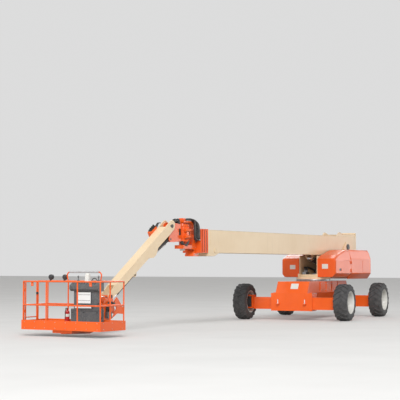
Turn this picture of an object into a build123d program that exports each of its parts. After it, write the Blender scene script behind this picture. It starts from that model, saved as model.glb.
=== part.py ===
from build123d import *
import math
import os

# A telescopic boom lift, parked: boom level, jib hanging down, platform just above the ground.
# Millimetres. X runs forward along the boom, Y to the left, Z up.
# Shapes are drawn about the middle of the turntable on the ground, then moved back by MID_X,
# so that the origin lies under the middle of the whole machine.

# Driving dimensions
MID_X = 5251.9
CHASSIS_TURN = 8.17

WHEELBASE = 3810
TRACK = 3360
TYRE_R = 577.5
TYRE_W = 445
RIM_R = 355
KINGPIN_IN = 180

HOUSING_HALF = 690
HOUSING_FRONT = 220
HOUSING_Z = (300, 860)
BEAM_Z = (340, 725)
BEAM_W = 170
BEAM_OFFSET = 105
FORK_REACH = 128
ARM_REACH = 90
FRAME_HALF = 535
DECK_Z = 1222
LUG_Y = 450
LUG_Z = (500, 532)
LUG_HOLE = 18

SWING_R = 560
HOOD_FRONT = 372
HOOD_SEAM = -810
TAIL = 2430
HOOD_IN = 345
HOOD_OUT = 997
HOOD_BOTTOM = 1360
UPRIGHT_Y = (306, 334)
HOOD_HINGE = (HOOD_SEAM - 7, 1013)
HINGE_Z = (1560, 1830)
HOOD_SHEET = 24
HOOD_ROUND = 70
VENT_Z = (1530, 1590, 1650, 1710, 1770)

BOOM_PIVOT = (-1963, 2370)
BOOM_TAIL = -2686
BOOM_FRONT = 7030
BOOM_Z = (2088, 2738)
BOOM_HALF = 300

LIFT_FOOT = (-1194, 1690)
LIFT_EYE = (200, 1975)

SLEW_X = 7900
SLEW_R = 185
HOSE_COUNT = 4
HOSE_R = 16
HOSE_PITCH = 36
HOSE_BEND = 95
HOSE_RISE = 7550
HOSE_TOP = 3012
HOSE_BLOCK = (7860, 7960)
JIB_PIVOT = (8600, 2800)
JIB_END = (11390, 939)
JIB_HALF = 130
JIB_FOOT = (JIB_PIVOT[0] + 15, JIB_PIVOT[1] - 360)
JIB_EYE = (JIB_PIVOT[0] + 834, JIB_PIVOT[1] - 786)
JIB_BOX = (330, 640, -20, 210)

JIB_LENGTH = math.dist(JIB_PIVOT, JIB_END)
LEVEL_EYE = (JIB_END[0] + 40, JIB_END[1] - 257)
LEVEL_BACK = 1250
LEVEL_SLOT = (-60, 60)
ROTATE_X = JIB_END[0] + 190
DRUM_R = 150
DRUM_Z = (700, 900)
PLATFORM_X = (12220, 13215)
PLATFORM_HALF = 1220
FLOOR_Z = 170
TOE_TOP = 390
MID_RAIL = 760
TOP_RAIL = 1350
TUBE_R = 19
POST_R = 17.5
GATE_X = (12640, 13120)
GATE_HINGE = 13112
HINGE_LUGS = (560, 1080)
GUARD_Z = 1560
GUARD_Y = (-540, 470)
GUARD_R = 16
FRONT_POSTS = (-450, 510)
ANCHOR_Y = 900
ANCHOR_Z = TOP_RAIL - 90
CONSOLE_Y = (-280, 590)
LAMP_Y = (-1110, -660)
LAMP_R = 62
BOTTLE_AT = (PLATFORM_X[0] + 107, -500)
BOTTLE_R = 62
BOTTLE_Z = (330, 560)
RUN = 0.1

os.makedirs("parts", exist_ok=True)


# Small helpers

def block(x, y, z):
    """A box given by its low and high x, y and z."""
    size = [high - low for low, high in (x, y, z)]
    middle = [(high + low) / 2 for low, high in (x, y, z)]
    return Pos(*middle) * Box(*size)


def side_plate(points, y, corner=0):
    """A plate with an outline of (x, z) points, from y[0] to y[1]."""
    face = make_face(Polyline(*[(px, y[0], pz) for px, pz in points], close=True))
    if corner:
        face = fillet(face.vertices(), corner)
    return extrude(face, amount=y[1] - y[0], dir=(0, 1, 0))


def cross_plate(points, x, corner=0):
    """A plate with an outline of (y, z) points, from x[0] to x[1]."""
    face = make_face(Polyline(*[(x[0], py, pz) for py, pz in points], close=True))
    if corner:
        face = fillet(face.vertices(), corner)
    return extrude(face, amount=x[1] - x[0], dir=(1, 0, 0))


def along_jib(distance, offset=0):
    """The (x, z) at a distance down the jib from its upper pivot, offset square to it."""
    dx, dz = JIB_END[0] - JIB_PIVOT[0], JIB_END[1] - JIB_PIVOT[1]
    ux, uz = dx / JIB_LENGTH, dz / JIB_LENGTH
    return (JIB_PIVOT[0] + ux * distance - uz * offset, JIB_PIVOT[1] + uz * distance + ux * offset)


LEVEL_FOOT = along_jib(JIB_LENGTH - LEVEL_BACK, -190)


def pin_y(at, r, y):
    """A round bar across the machine at (x, z), from y[0] to y[1]."""
    return Pos(at[0], (y[0] + y[1]) / 2, at[1]) * Rot(90, 0, 0) * Cylinder(r, y[1] - y[0])


def post(at, r, z):
    """An upright round bar at (x, y), from z[0] to z[1]."""
    return Pos(at[0], at[1], (z[0] + z[1]) / 2) * Cylinder(r, z[1] - z[0])


def bar(start, end, r):
    """A round bar between two points."""
    a, b = Vector(*start), Vector(*end)
    return Plane(origin=(a + b) * 0.5, z_dir=b - a) * Cylinder(r, (b - a).length)


def joined(pieces):
    """One shape from several that touch."""
    pieces = list(pieces)
    return pieces[0] + pieces[1:]


def both_sides(shape):
    """A shape and its mirror image across the machine."""
    return [shape, mirror(shape, Plane.XZ)]


def stand(node, shape, turned=False):
    """Writes one piece in the finished frame, turned with the chassis if it belongs to it."""
    if turned:
        shape = Rot(0, 0, CHASSIS_TURN) * shape
    shape = Pos(-MID_X, 0, 0) * shape
    shape.label = node
    export_step(shape, "parts/" + node + ".step")


# Chassis

def axle_housing():
    """The front housing with its two side by side pockets, each closed at its far end."""
    x0 = WHEELBASE / 2 - HOUSING_FRONT
    x1 = WHEELBASE / 2 + HOUSING_FRONT
    low, high = HOUSING_Z
    body = block((x0, x1), (-HOUSING_HALF, HOUSING_HALF), (low, high))
    for side, middle in ((1, WHEELBASE / 2 + BEAM_OFFSET), (-1, WHEELBASE / 2 - BEAM_OFFSET)):
        y = sorted((-side * (HOUSING_HALF - 18), side * (HOUSING_HALF + 1)))
        half = BEAM_W / 2 + 6
        body -= block((middle - half, middle + half), y, (BEAM_Z[0] - 6, BEAM_Z[1] + 6))
        # the collar around the pocket's mouth
        mouth = sorted((side * (HOUSING_HALF - 90), side * HOUSING_HALF))
        collar = block((middle - half - 22, middle + half + 22), mouth, (low - 6, high + 14))
        collar -= block((middle - half, middle + half), (-900, 900), (BEAM_Z[0] - 6, BEAM_Z[1] + 6))
        body += collar
        # wear pads above and below the beam, just inside the mouth
        pad_y = sorted((side * 480, side * 660))
        for z in ((BEAM_Z[0] - 8, BEAM_Z[0] - RUN), (BEAM_Z[1] + RUN, BEAM_Z[1] + 8)):
            body += block((middle - 60, middle + 60), pad_y, z)
    return body


def chassis_frame():
    """Frame box, sloped end plates, deck, housings and tie-down lugs."""
    low, high = HOUSING_Z
    end = WHEELBASE / 2 + HOUSING_FRONT
    deck_end = WHEELBASE / 2
    outline = [(-end, high - 2), (-deck_end, DECK_Z), (deck_end, DECK_Z), (end, high - 2)]
    upper = side_plate(outline, (-FRAME_HALF, FRAME_HALF))
    belly_end = WHEELBASE / 2 - HOUSING_FRONT + 15
    belly = block((-belly_end, belly_end), (-480, 480), (420, high))
    frame = upper + belly
    hollow_end = belly_end - 300
    frame -= block((-hollow_end, hollow_end), (-440, 440), (400, DECK_Z - 60))
    frame += block((-hollow_end, hollow_end), (-440, 440), (420, 450))
    front = axle_housing()
    frame += front
    frame += Rot(0, 0, 180) * front
    lug = block((end - 4, end + 60), (-45, 45), LUG_Z) + post((end + 60, 0), 45, LUG_Z)
    lug += side_plate([(end - 4, 690), (end + 26, 660), (end + 26, LUG_Z[0] + 5), (end - 4, 430)], (-12, 12))
    lug -= post((end + 60, 0), LUG_HOLE, (LUG_Z[0] - 1, LUG_Z[1] + 1))
    for y in (-LUG_Y, LUG_Y):
        frame += Pos(0, y, 0) * lug
        frame += Rot(0, 0, 180) * (Pos(0, y, 0) * lug)
    # the panel on each side of the frame, with its stiffening ribs
    for x in (-900, -300, 300, 900):
        for y in (-FRAME_HALF - 22, FRAME_HALF - 1):
            frame += block((x - 9, x + 9), (y, y + 23), (high + 30, DECK_Z - 20))
    return frame


def swing_ring():
    """The lower race on the deck."""
    height = 68 - RUN
    ring = Cylinder(SWING_R, height) - Cylinder(SWING_R - 90, height + 2)
    return Pos(0, 0, DECK_Z + height / 2) * ring


def axle_beam():
    """Front left beam: hollow box, offset fork end and kingpin."""
    x = WHEELBASE / 2 + BEAM_OFFSET
    half = BEAM_W / 2
    king_y = TRACK / 2 - KINGPIN_IN
    fork_y = king_y - FORK_REACH
    beam = block((x - half, x + half), (0, fork_y + 2), BEAM_Z)
    beam -= block((x - half + 16, x + half - 16), (-1, fork_y - 12), (BEAM_Z[0] + 16, BEAM_Z[1] - 16))
    fork = block((WHEELBASE / 2 - 75, x + half), (fork_y, fork_y + 48), (362, 793))
    beam += fork
    for z in ((362, 405), (750, 793)):
        arm = block((WHEELBASE / 2 - 75, WHEELBASE / 2 + 75), (king_y - ARM_REACH, king_y), z)
        arm += post((WHEELBASE / 2, king_y), 75, z)
        beam += arm
    beam += post((WHEELBASE / 2, king_y), 35, (360, 790))
    return beam


def knuckle():
    """Front left knuckle: barrel around the kingpin, drive housing and spindle."""
    x, z = WHEELBASE / 2, TYRE_R
    king_y = TRACK / 2 - KINGPIN_IN
    body = post((x, king_y), 72, (406, 749))
    body += pin_y((x, z), 120, (king_y + 20, king_y + 90))
    body += pin_y((x, z), 150, (king_y + 88, king_y + 130))
    body += pin_y((x, z), 60, (king_y + 100, king_y + 175))
    body -= post((x, king_y), 35.06, (400, 760))
    return body


def rim():
    """White dished rim with its hub, about the middle of the tyre, outside towards +Y."""
    half = TYRE_W / 2 - 12
    outline = [
        (RIM_R, -half), (RIM_R, -half + 18), (RIM_R - 22, -half + 30), (RIM_R - 34, 0),
        (RIM_R - 22, half - 30), (RIM_R, half - 18), (RIM_R, half), (RIM_R - 12, half),
        (RIM_R - 40, half - 36), (RIM_R - 56, 40), (RIM_R - 110, 12), (150, 6), (135, 40),
        (120, 96), (0, 104), (0, 62), (60.06, 62), (60.06, -40), (150, -36), (RIM_R - 90, -20),
        (RIM_R - 50, 6), (RIM_R - 46, -half + 40), (RIM_R - 14, -half),
    ]
    face = make_face(Polyline(*[(r, y, 0) for r, y in outline], close=True))
    return revolve(face, Axis.Y, 360)


def tyre():
    """Carcass with two rows of slanting lugs that meet in a chevron."""
    half = TYRE_W / 2
    crown = TYRE_R - 30
    seat = RIM_R + 0.3
    with BuildSketch(Plane.XY) as section:
        with BuildLine():
            Polyline((seat, -half + 16), (seat, half - 16))
            ThreePointArc((seat, half - 16), (430, half), (500, half - 14))
            Line((500, half - 14), (crown - 6, half - 62))
            ThreePointArc((crown - 6, half - 62), (crown, 0), (crown - 6, -half + 62))
            Line((crown - 6, -half + 62), (500, -half + 14))
            ThreePointArc((500, -half + 14), (430, -half), (seat, -half + 16))
        make_face()
    body = revolve(section.sketch, Axis.Y, 360)
    profile = [
        (-12, crown - 14), (-12, TYRE_R - 1), (190, TYRE_R - 9), (272, 512), (262, 488), (190, crown - 40),
    ]
    lug = make_face(Polyline(*[(0, s, r) for s, r in profile], close=True))
    lug = Pos(-26, 0, 0) * extrude(lug, amount=52, dir=(1, 0, 0))
    lug = Rot(0, 0, -36) * lug
    envelope = Rot(90, 0, 0) * Cylinder(TYRE_R, 2 * half - 20)
    lug = lug & envelope
    count = 16
    lugs = []
    for i in range(count):
        lugs.append(Rot(0, 360 / count * i, 0) * lug)
        lugs.append(Rot(0, 360 / count * (i + 0.5), 0) * mirror(lug, Plane.XZ))
    return body + lugs


# name, front or rear, left or right
CORNERS = (
    ("front_left", 1, 1),
    ("front_right", 1, -1),
    ("rear_left", -1, 1),
    ("rear_right", -1, -1),
)


def wheel_place(fore, side):
    turn = 0 if side == 1 else 180
    return Pos(fore * WHEELBASE / 2, side * TRACK / 2, TYRE_R) * Rot(0, 0, turn)


def beam_corner(fore, side):
    """Front beams lie front pocket left, rear pocket right; the rear axle is turned half round."""
    beam = axle_beam()
    if (fore, side) == (1, 1):
        return beam
    if (fore, side) == (-1, -1):
        return Rot(0, 0, 180) * beam
    swapped = mirror(Pos(-WHEELBASE / 2, 0, 0) * beam, Plane.XZ)
    swapped = Pos(WHEELBASE / 2, 0, 0) * mirror(swapped, Plane.YZ)
    return swapped if (fore, side) == (1, -1) else Rot(0, 0, 180) * swapped


def make_chassis():
    stand("chassis_frame", chassis_frame(), True)
    stand("swing_ring", swing_ring(), True)
    steer = knuckle()
    wheel_rim = rim()
    wheel_tyre = tyre()
    for name, fore, side in CORNERS:
        stand("beam_" + name, beam_corner(fore, side), True)
        turn = 0 if side == 1 else 180
        at = Pos(-WHEELBASE / 2, 0, 0) * steer
        stand("knuckle_" + name, Pos(fore * WHEELBASE / 2, 0, 0) * Rot(0, 0, turn) * at, True)
        stand("rim_" + name, wheel_place(fore, side) * wheel_rim, True)
        stand("tyre_" + name, wheel_place(fore, side) * wheel_tyre, True)


# Turntable

def hood_form(sheet, past):
    """The left door's outside, or with a sheet's thickness the space inside it, with rounded edges."""
    front, out = HOOD_FRONT - sheet, HOOD_OUT - sheet
    roof = [
        (HOOD_SEAM - past, HOOD_BOTTOM - past), (front, HOOD_BOTTOM - past), (front, 1955 - sheet),
        (120, 2075 - sheet), (-520, 2250 - sheet), (HOOD_SEAM - past, 2262 - sheet),
    ]
    section = [
        (HOOD_IN - past, 1260), (885 - sheet, 1260), (885 - sheet * 0.6, HOOD_BOTTOM), (out, 1480),
        (out, 1900), (900 - sheet * 0.5, 2300 - sheet), (HOOD_IN - past, 2300 - sheet),
    ]
    form = side_plate(roof, (HOOD_IN - past, out)) & cross_plate(section, (HOOD_SEAM - 90, HOOD_FRONT + 50))
    edges = []
    for edge in form.edges():
        middle = edge.center()
        ahead = middle.X > HOOD_SEAM - past + 5 and middle.Z > 1500
        front_top = abs(middle.X - front) < 2 and abs(middle.Z - 1955 + sheet) < 3
        if ahead and (middle.Y > 880 - sheet or front_top):
            edges.append(edge)
    return form.fillet(HOOD_ROUND - sheet, edges)


def hinge_leaf(x, z):
    """A flat hinge leaf on the side of the covers."""
    return block(x, (996, HOOD_HINGE[1]), (z, z + 60))


def front_hood():
    """Left door: sloping roof and rounded side, open below, behind and towards the middle."""
    hood = hood_form(0, 0) - hood_form(HOOD_SHEET, 60)
    for z in HINGE_Z:
        hood += post(HOOD_HINGE, 14, (z, z + 60)) + hinge_leaf((HOOD_HINGE[0], -760), z)
        hood -= post(HOOD_HINGE, 7.06, (z - 5, z + 65))
    # the latch's pocket low on the side
    hood -= block((-90, 60), (HOOD_OUT - 9, HOOD_OUT + 5), (1560, 1640))
    return hood


def engine_hood(hood):
    """The right door, with the engine's cooling slots in its side."""
    door = mirror(hood, Plane.XZ)
    for z in VENT_Z:
        door -= block((-640, -240), (-HOOD_OUT - 5, -HOOD_OUT + HOOD_SHEET + 5), (z, z + 26))
    return door


def rear_body():
    """Tail casting with the fixed covers ahead of it on both sides, open in the middle for the boom."""
    x = (-TAIL, HOOD_SEAM - 14)
    section = [(HOOD_IN, 1290), (870, 1290), (HOOD_OUT, 1470), (HOOD_OUT, 1960), (900, 2265), (HOOD_IN, 2265)]
    half = cross_plate(section, x)
    roof = [(-TAIL + 60, 1250), (-TAIL, 1420), (-TAIL, 2160), (-TAIL + 110, 2300), (0, 2300), (0, 1250)]
    half &= side_plate(roof, (0, 1100))
    edges = []
    for edge in half.edges():
        middle = edge.center()
        if middle.X < HOOD_SEAM - 20 and middle.Y > 880 and middle.Z > 1440:
            edges.append(edge)
    half = half.fillet(HOOD_ROUND, edges)
    inner = [
        (HOOD_IN - 50, 1200), (850, 1200), (850, 1310), (HOOD_OUT - 34, 1480), (HOOD_OUT - 34, 1940),
        (870, 2235), (HOOD_IN - 50, 2235),
    ]
    half -= cross_plate(inner, (-1960, HOOD_SEAM))
    for z in HINGE_Z:
        half += post(HOOD_HINGE, 14, (z - 50, z - 0.5))
        half += block((-880, HOOD_HINGE[0]), (996, HOOD_HINGE[1]), (z - 50, z - 0.5))
        half += post(HOOD_HINGE, 7, (z - 40, z + 70))
    # the groove between the cover and the tail casting
    groove = block((-1730, -1712), (HOOD_OUT - 12, HOOD_OUT + 5), (1480, 1900))
    half -= groove
    bridge = block((-TAIL, -2000), (-HOOD_IN - 5, HOOD_IN + 5), (1290, 1345))
    return half + mirror(half, Plane.XZ) + bridge


def turntable_frame():
    """Upper race, base plate, the two uprights with the boom's bearings, and the lift foot."""
    ring = Pos(0, 0, 1317.5) * (Cylinder(SWING_R, 55) - Cylinder(SWING_R - 90, 60))
    base = block((-1960, 335), (-845, 845), (1345, 1375))
    base += block((-2300, 350), (-334, 334), (1345, 1385))
    y = UPRIGHT_Y
    outline = [
        (350, 1380), (350, 2060), (-1500, 2068), (-1780, 2470), (-1860, 2540), (-2080, 2540),
        (-2160, 2440), (-2190, 1380),
    ]
    plate = side_plate(outline, y)
    plate -= pin_y(BOOM_PIVOT, 60.06, (y[0] - 1, y[1] + 1))
    frame = ring + base + both_sides(plate)
    foot = side_plate([(-1330, 1380), (-1270, 1723), (-1194, 1783), (-1118, 1723), (-1040, 1380)], (125, 155))
    foot -= pin_y(LIFT_FOOT, 45.06, (120, 160))
    frame += both_sides(foot)
    frame += block((330, 350), (-306, 306), (1385, 1440))
    tie = block((378, 412), (300, 360), (1290, 1465)) + block((340, 400), (300, 338), (1345, 1385))
    frame += both_sides(tie)
    return frame


def engine():
    return block((-560, 160), (-800, -400), (1375, 1950))


def make_turntable():
    stand("turntable_frame", turntable_frame())
    hood = front_hood()
    stand("hood_left", hood)
    stand("hood_right", engine_hood(hood))
    stand("rear_body", rear_body())
    stand("engine", engine())


# Boom

def box_tube(x, half, z, wall, gap):
    """A square tube with wear pads inside its nose, which fill the gap to the next section."""
    tube = block(x, (-half, half), z)
    inside, low, high = half - wall, z[0] + wall, z[1] - wall
    tube -= block((x[0] - 1, x[1] + 1), (-inside, inside), (low, high))
    if gap:
        pad_x = (x[1] - 190, x[1] - 40)
        for pad_z in ((low - 1, low + gap - RUN), (high - gap + RUN, high + 1)):
            tube += block(pad_x, (-inside + 60, inside - 60), pad_z)
        for side in (-1, 1):
            pad_y = sorted((side * (inside - gap + RUN), side * (inside + 1)))
            tube += block(pad_x, pad_y, (low + 60, low + 200)) + block(pad_x, pad_y, (high - 200, high - 60))
    return tube


def boom_base():
    """Outer section: bearing stubs, tail ring, rear bracket, nose bulge and cylinder ears."""
    tube = box_tube((BOOM_TAIL, BOOM_FRONT), BOOM_HALF, BOOM_Z, 12, 8)
    for side in (-1, 1):
        stub = sorted((side * (BOOM_HALF - 1), side * (UPRIGHT_Y[1] + 4)))
        tube += pin_y(BOOM_PIVOT, 60, stub)
    ring = block((BOOM_TAIL, BOOM_TAIL + 90), (-BOOM_HALF, BOOM_HALF), (2070, 2875))
    inside = BOOM_HALF - 12
    ring -= block((BOOM_TAIL - 5, BOOM_TAIL + 95), (-inside, inside), (BOOM_Z[0] + 12, BOOM_Z[1] - 12))
    # the raised bracket behind the pivot, higher at both of its ends
    bridge = [
        (-2610, 2737), (-2610, 2822), (-2300, 2812), (-1660, 2800), (-1580, 2818), (-1440, 2868),
        (-1340, 2860), (-1180, 2737),
    ]
    bridge = side_plate(bridge, (-290, 290)) - block((-2590, -1000), (-262, 262), (2745, 2900))
    tube += ring
    tube += bridge
    bulge = side_plate([(7030, 1990), (6700, 1990), (6420, 2089), (7030, 2089)], (-295, 295))
    tube += bulge
    ear = side_plate([(60, 2089), (130, 1965), (200, 1935), (270, 1965), (360, 2089)], (96, 124))
    tube += both_sides(ear)
    return tube


# name, wall gap to the base, collar's low and high x
SECTIONS = (
    ("boom_mid", 20, -2560, (7040, 7150)),
    ("boom_inner", 40, -2470, (7162, 7272)),
    ("boom_fly", 60, -2380, (7284, 7420)),
)


def boom_section(shrink, tail, collar):
    z = (BOOM_Z[0] + shrink, BOOM_Z[1] - shrink)
    return box_tube((tail, collar[0] + 10), BOOM_HALF - shrink, z, 10, 10 if shrink < 60 else 0)


def section_collar(shrink, collar):
    """The orange ribbed frame at a section's nose."""
    half = BOOM_HALF - shrink
    x0, x1 = collar
    outer = block((x0, x1), (-305, 305), (2082, 2755))
    for x in (x0 + 18, x1 - 56):
        outer -= block((x, x + 38), (-330, -290), (2060, 2780))
        outer -= block((x, x + 38), (290, 330), (2060, 2780))
    inside = half - (10 if shrink < 60 else 40)
    deep = (BOOM_Z[0] + shrink + 10, BOOM_Z[1] - shrink - 10)
    outer -= block((x0 - 1, x1 + 1), (-inside, inside), deep)
    high = (BOOM_Z[0] + shrink - 0.4, BOOM_Z[1] - shrink + 0.4)
    sleeve = block((x0 - 1, x0 + 11), (-half - 0.4, half + 0.4), high)
    return outer - sleeve


def fly_nose():
    """Last collar with its closing plate and the two arms that hold the jib's slewing motor."""
    x0, x1 = SECTIONS[2][3]
    nose = section_collar(60, (x0, x1))
    nose += block((x1 - 30, x1), (-260, 260), (2150, 2680))
    arm_z = (2915, 2965)
    face = x1 - 20
    lower = [(face, 2150), (face, 2330), (7620, 2300), (SLEW_X + 160, 2290), (SLEW_X + 160, 2190), (7700, 2190)]
    upper = [
        (face, 2560), (face, 2745), (7560, arm_z[1]), (SLEW_X + 110, arm_z[1]), (SLEW_X + 110, arm_z[0]),
        (7640, arm_z[0]),
    ]
    nose += side_plate(lower, (-150, 150))
    nose += side_plate(upper, (-130, 130))
    for side in (-1, 1):
        y = sorted((side * 150, side * 122))
        nose += side_plate([(face, 2200), (face, 2700), (7600, 2300), (7600, 2200)], y)
    chin = [(7300, 2083), (7300, 1985), (7560, 1985), (7560, 2020), (7480, 2160), (face, 2160)]
    nose += side_plate(chin, (-140, 140))
    nose -= post((SLEW_X, 0), 55.06, (2180, 2310))
    nose -= post((SLEW_X, 0), 55.06, (2900, 2980))
    nose += block(HOSE_BLOCK, (-80, 80), (2964, HOSE_TOP + 28))
    return nose


def nose_hoses():
    """Hoses from the nose's left side, up and over the arm to the block on top of the slewing motor."""
    tubes = []
    start = SECTIONS[2][3][1] + RUN
    for i in range(HOSE_COUNT):
        x, y, end_y = HOSE_RISE + 42 * i, 172 + HOSE_PITCH * i, HOSE_PITCH * (i - 1.5)
        end = (HOSE_BLOCK[0] - RUN, end_y, HOSE_TOP)
        route = [(start, y, 2440), (x, y, 2440), (x, y, HOSE_TOP), (x, end_y, HOSE_TOP), end]
        line = FilletPolyline(*route, radius=HOSE_BEND)
        tubes.append(sweep(Plane(origin=route[0], z_dir=(1, 0, 0)) * Circle(HOSE_R), path=line))
    return tubes[0] + tubes[1:]


def make_boom():
    stand("boom_base", boom_base())
    for name, shrink, tail, collar in SECTIONS:
        stand(name, boom_section(shrink, tail, collar))
    stand("collar_mid", section_collar(20, SECTIONS[0][3]))
    stand("collar_inner", section_collar(40, SECTIONS[1][3]))
    stand("fly_nose", fly_nose())
    stand("nose_hoses", nose_hoses())
    barrel, rod = cylinder(LIFT_FOOT, LIFT_EYE, 90, 62, (45, 160), 76, (1335, 95, 85))
    stand("lift_barrel", barrel)
    stand("lift_rod", rod)


# Jib

def jib_head():
    """Slewing motor body between the nose's arms, and the two cheeks that carry the jib."""
    body = post((SLEW_X, 0), SLEW_R, (2385, 2860))
    body += post((SLEW_X, 0), 55, (2195, 2960))
    body += post((SLEW_X, 0), 95, (2296, 2386))
    body += post((SLEW_X, 0), 95, (2859, 2908))
    x, z = JIB_PIVOT
    outline = [
        (8010, 2400), (8010, 2850), (x - 100, z + 100), (x, z + 105), (x + 100, z + 40), (x + 105, z - 50),
        (x + 75, z - 140), (x + 85, z - 380), (x + 45, z - 435), (x - 100, z - 435),
    ]
    cheek = side_plate(outline, (66, 94))
    cheek -= pin_y(JIB_FOOT, 32.06, (60, 100))
    body += both_sides(cheek)
    body += block((8010, 8100), (-94, 94), (2400, 2850))
    body += pin_y(JIB_PIVOT, 40, (-134, 134))
    return body


def jib_arm():
    """Cream box, open below over its cylinder, with two ears at each end and the cylinder's gusset."""
    start, end = 260, JIB_LENGTH - 330
    outline = [along_jib(start, 140), along_jib(end, 118), along_jib(end, -118), along_jib(start, -140)]
    arm = side_plate(outline, (-JIB_HALF, JIB_HALF))
    hollow = [
        along_jib(start + 12, 128), along_jib(end - 12, 106), along_jib(end - 12, -106), along_jib(1480, -116),
        along_jib(1440, -160), along_jib(start - 20, -170), along_jib(start - 20, -100),
    ]
    arm -= side_plate(hollow, (-JIB_HALF + 26, JIB_HALF - 26))
    for y in ((104, JIB_HALF), (-JIB_HALF, -104)):
        ear = [along_jib(0, 150), along_jib(start + 15, 139), along_jib(start + 15, -139), along_jib(0, -130)]
        ear = side_plate(ear, y) + pin_y(JIB_PIVOT, 130, y) + pin_y(along_jib(-25, 20), 130, y)
        ear -= pin_y(JIB_PIVOT, 40.06, (y[0] - 1, y[1] + 1))
        low = [(end - 20, 118), (JIB_LENGTH, 80), (JIB_LENGTH, -80), (end - 20, -118)]
        low = side_plate([along_jib(*place) for place in low], y) + pin_y(JIB_END, 80, y)
        low -= pin_y(JIB_END, 35.06, (y[0] - 1, y[1] + 1))
        arm += [ear, low]
    gusset = [along_jib(860, -128), along_jib(1060, -245), along_jib(1200, -245), along_jib(1420, -124)]
    arm += both_sides(side_plate(gusset, (88, JIB_HALF - 4)))
    # the slot that the levelling cylinder swings into when the jib is raised
    at = JIB_LENGTH - 960
    mouth = [along_jib(at, -170), along_jib(at, -100), along_jib(end + 5, -75), along_jib(end + 5, -170)]
    arm -= side_plate(mouth, LEVEL_SLOT)
    at = JIB_LENGTH - LEVEL_BACK
    ear = [(at - 130, -115), (at - 45, -235), (at + 45, -235), (at + 130, -115)]
    ear = [along_jib(*place) for place in ear]
    ear = side_plate(ear, (52, 74))
    ear -= pin_y(LEVEL_FOOT, 26.06, (50, 76))
    arm += both_sides(ear)
    return arm


def cylinder(foot, eye, barrel_r, rod_r, foot_pin, eye_half, reach):
    """Barrel and rod between two eyes at (x, z).

    reach holds the distances of the gland, the rod's tail and the bore's end from the foot's eye."""
    a = Vector(foot[0], 0, foot[1])
    b = Vector(eye[0], 0, eye[1])
    way = (b - a).normalized()
    gland, tail, bore_end = reach
    bore = bar(tuple(a + way * bore_end), tuple(b), rod_r + 0.06)
    barrel = bar(tuple(a + way * barrel_r * 0.5), tuple(a + way * gland), barrel_r) - bore
    barrel += bar(tuple(a + way * (gland - 45)), tuple(a + way * gland), barrel_r * 1.09) - bore
    barrel += pin_y(foot, foot_pin[0] * 1.7, (-eye_half, eye_half))
    barrel += pin_y(foot, foot_pin[0], (-foot_pin[1], foot_pin[1]))
    rod = bar(tuple(a + way * tail), tuple(b - way * rod_r * 0.6), rod_r)
    rod += pin_y(eye, rod_r * 1.2, (-eye_half, eye_half))
    rod += pin_y(eye, rod_r * 0.6, (-eye_half - 14, eye_half + 14))
    return barrel, rod


def make_jib():
    stand("jib_head", jib_head())
    stand("jib_arm", jib_arm())
    stand("jib_valves", jib_valves())
    barrel, rod = cylinder(JIB_FOOT, JIB_EYE, 56, 36, (32, 96), 58, (762, 174, 62))
    stand("jib_barrel", barrel)
    stand("jib_rod", rod)
    barrel, rod = cylinder(LEVEL_FOOT, LEVEL_EYE, 42, 26, (26, 78), 44, (835, 600, 52))
    stand("level_barrel", barrel)
    stand("level_rod", rod)


# Platform

def platform_mount():
    """Levelling bracket: two pointed cheeks outside the jib's end and the rotator's drum."""
    x, z = JIB_END
    front = ROTATE_X + 120
    foot = DRUM_Z[0] - 365
    outline = [
        (x - 60, z + 45), (x + 60, z + 45), (x + 110, z - 60), (front, z - 90), (front, foot), (x + 60, foot),
        (x - 260, z - 435), (x - 540, z - 455), (x - 545, z - 330), (x - 250, z - 20), (x - 90, z - 150),
    ]
    cheek = side_plate(outline, (136, 158))
    slot = [(x - 240, z - 290), (x - 160, z - 230), (x + 20, z - 470), (x - 60, z - 530)]
    cheek -= side_plate(slot, (130, 160), 30)
    mount = joined(both_sides(cheek))
    mount += pin_y(JIB_END, 35, (-162, 162))
    mount += post((ROTATE_X, 0), 98, (foot, DRUM_Z[1])) + post((ROTATE_X, 0), DRUM_R, DRUM_Z)
    mount += block((x + 95, front), (-140, 140), (foot, foot + 60))
    lug = [
        (x - 10, z - 299), (x - 10, z - 219), (x + 20, z - 194), (x + 160, z - 179), (x + 160, z - 329),
        (x + 30, z - 329),
    ]
    lug = side_plate(lug, (60, 78)) - pin_y(LEVEL_EYE, 16.5, (58, 80))
    # the recess behind the drum that the levelling cylinder's eye moves in
    mount -= block((x - 5, x + 92), LEVEL_SLOT, (DRUM_Z[0] - 5, DRUM_Z[1] + 3))
    mount += both_sides(lug)
    mount -= post((ROTATE_X, 0), 60.06, (200, 960))
    return mount


def platform_bracket():
    """Rotator shaft, the arm to the platform and the frame under its floor."""
    x0, x1 = PLATFORM_X
    top = DRUM_Z[1]
    shaft = post((ROTATE_X, 0), 60, (262, top + 20)) + post((ROTATE_X, 0), 95, (top + 6, top + 32))
    outline = [
        (ROTATE_X - 110, 190), (ROTATE_X - 110, 306), (ROTATE_X + 120, 306), (x0 - 20, 150),
        (x1 - 120, 150), (x1 - 120, 70), (x0 - 60, 40),
    ]
    bracket = shaft + side_plate(outline, (-75, 75))
    for y in (-300, 220):
        bracket += block((x0 + 60, x1 - 80), (y, y + 80), (90, FLOOR_Z))
    for x in (x0 + 60, x1 - 160):
        bracket += block((x, x + 80), (-300, 300), (90, FLOOR_Z))
    return bracket


def floor_pan():
    x0, x1 = PLATFORM_X
    y = PLATFORM_HALF - 18
    return block((x0 + 18, x1 - 18), (-y, y), (FLOOR_Z, FLOOR_Z + 30))


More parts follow.
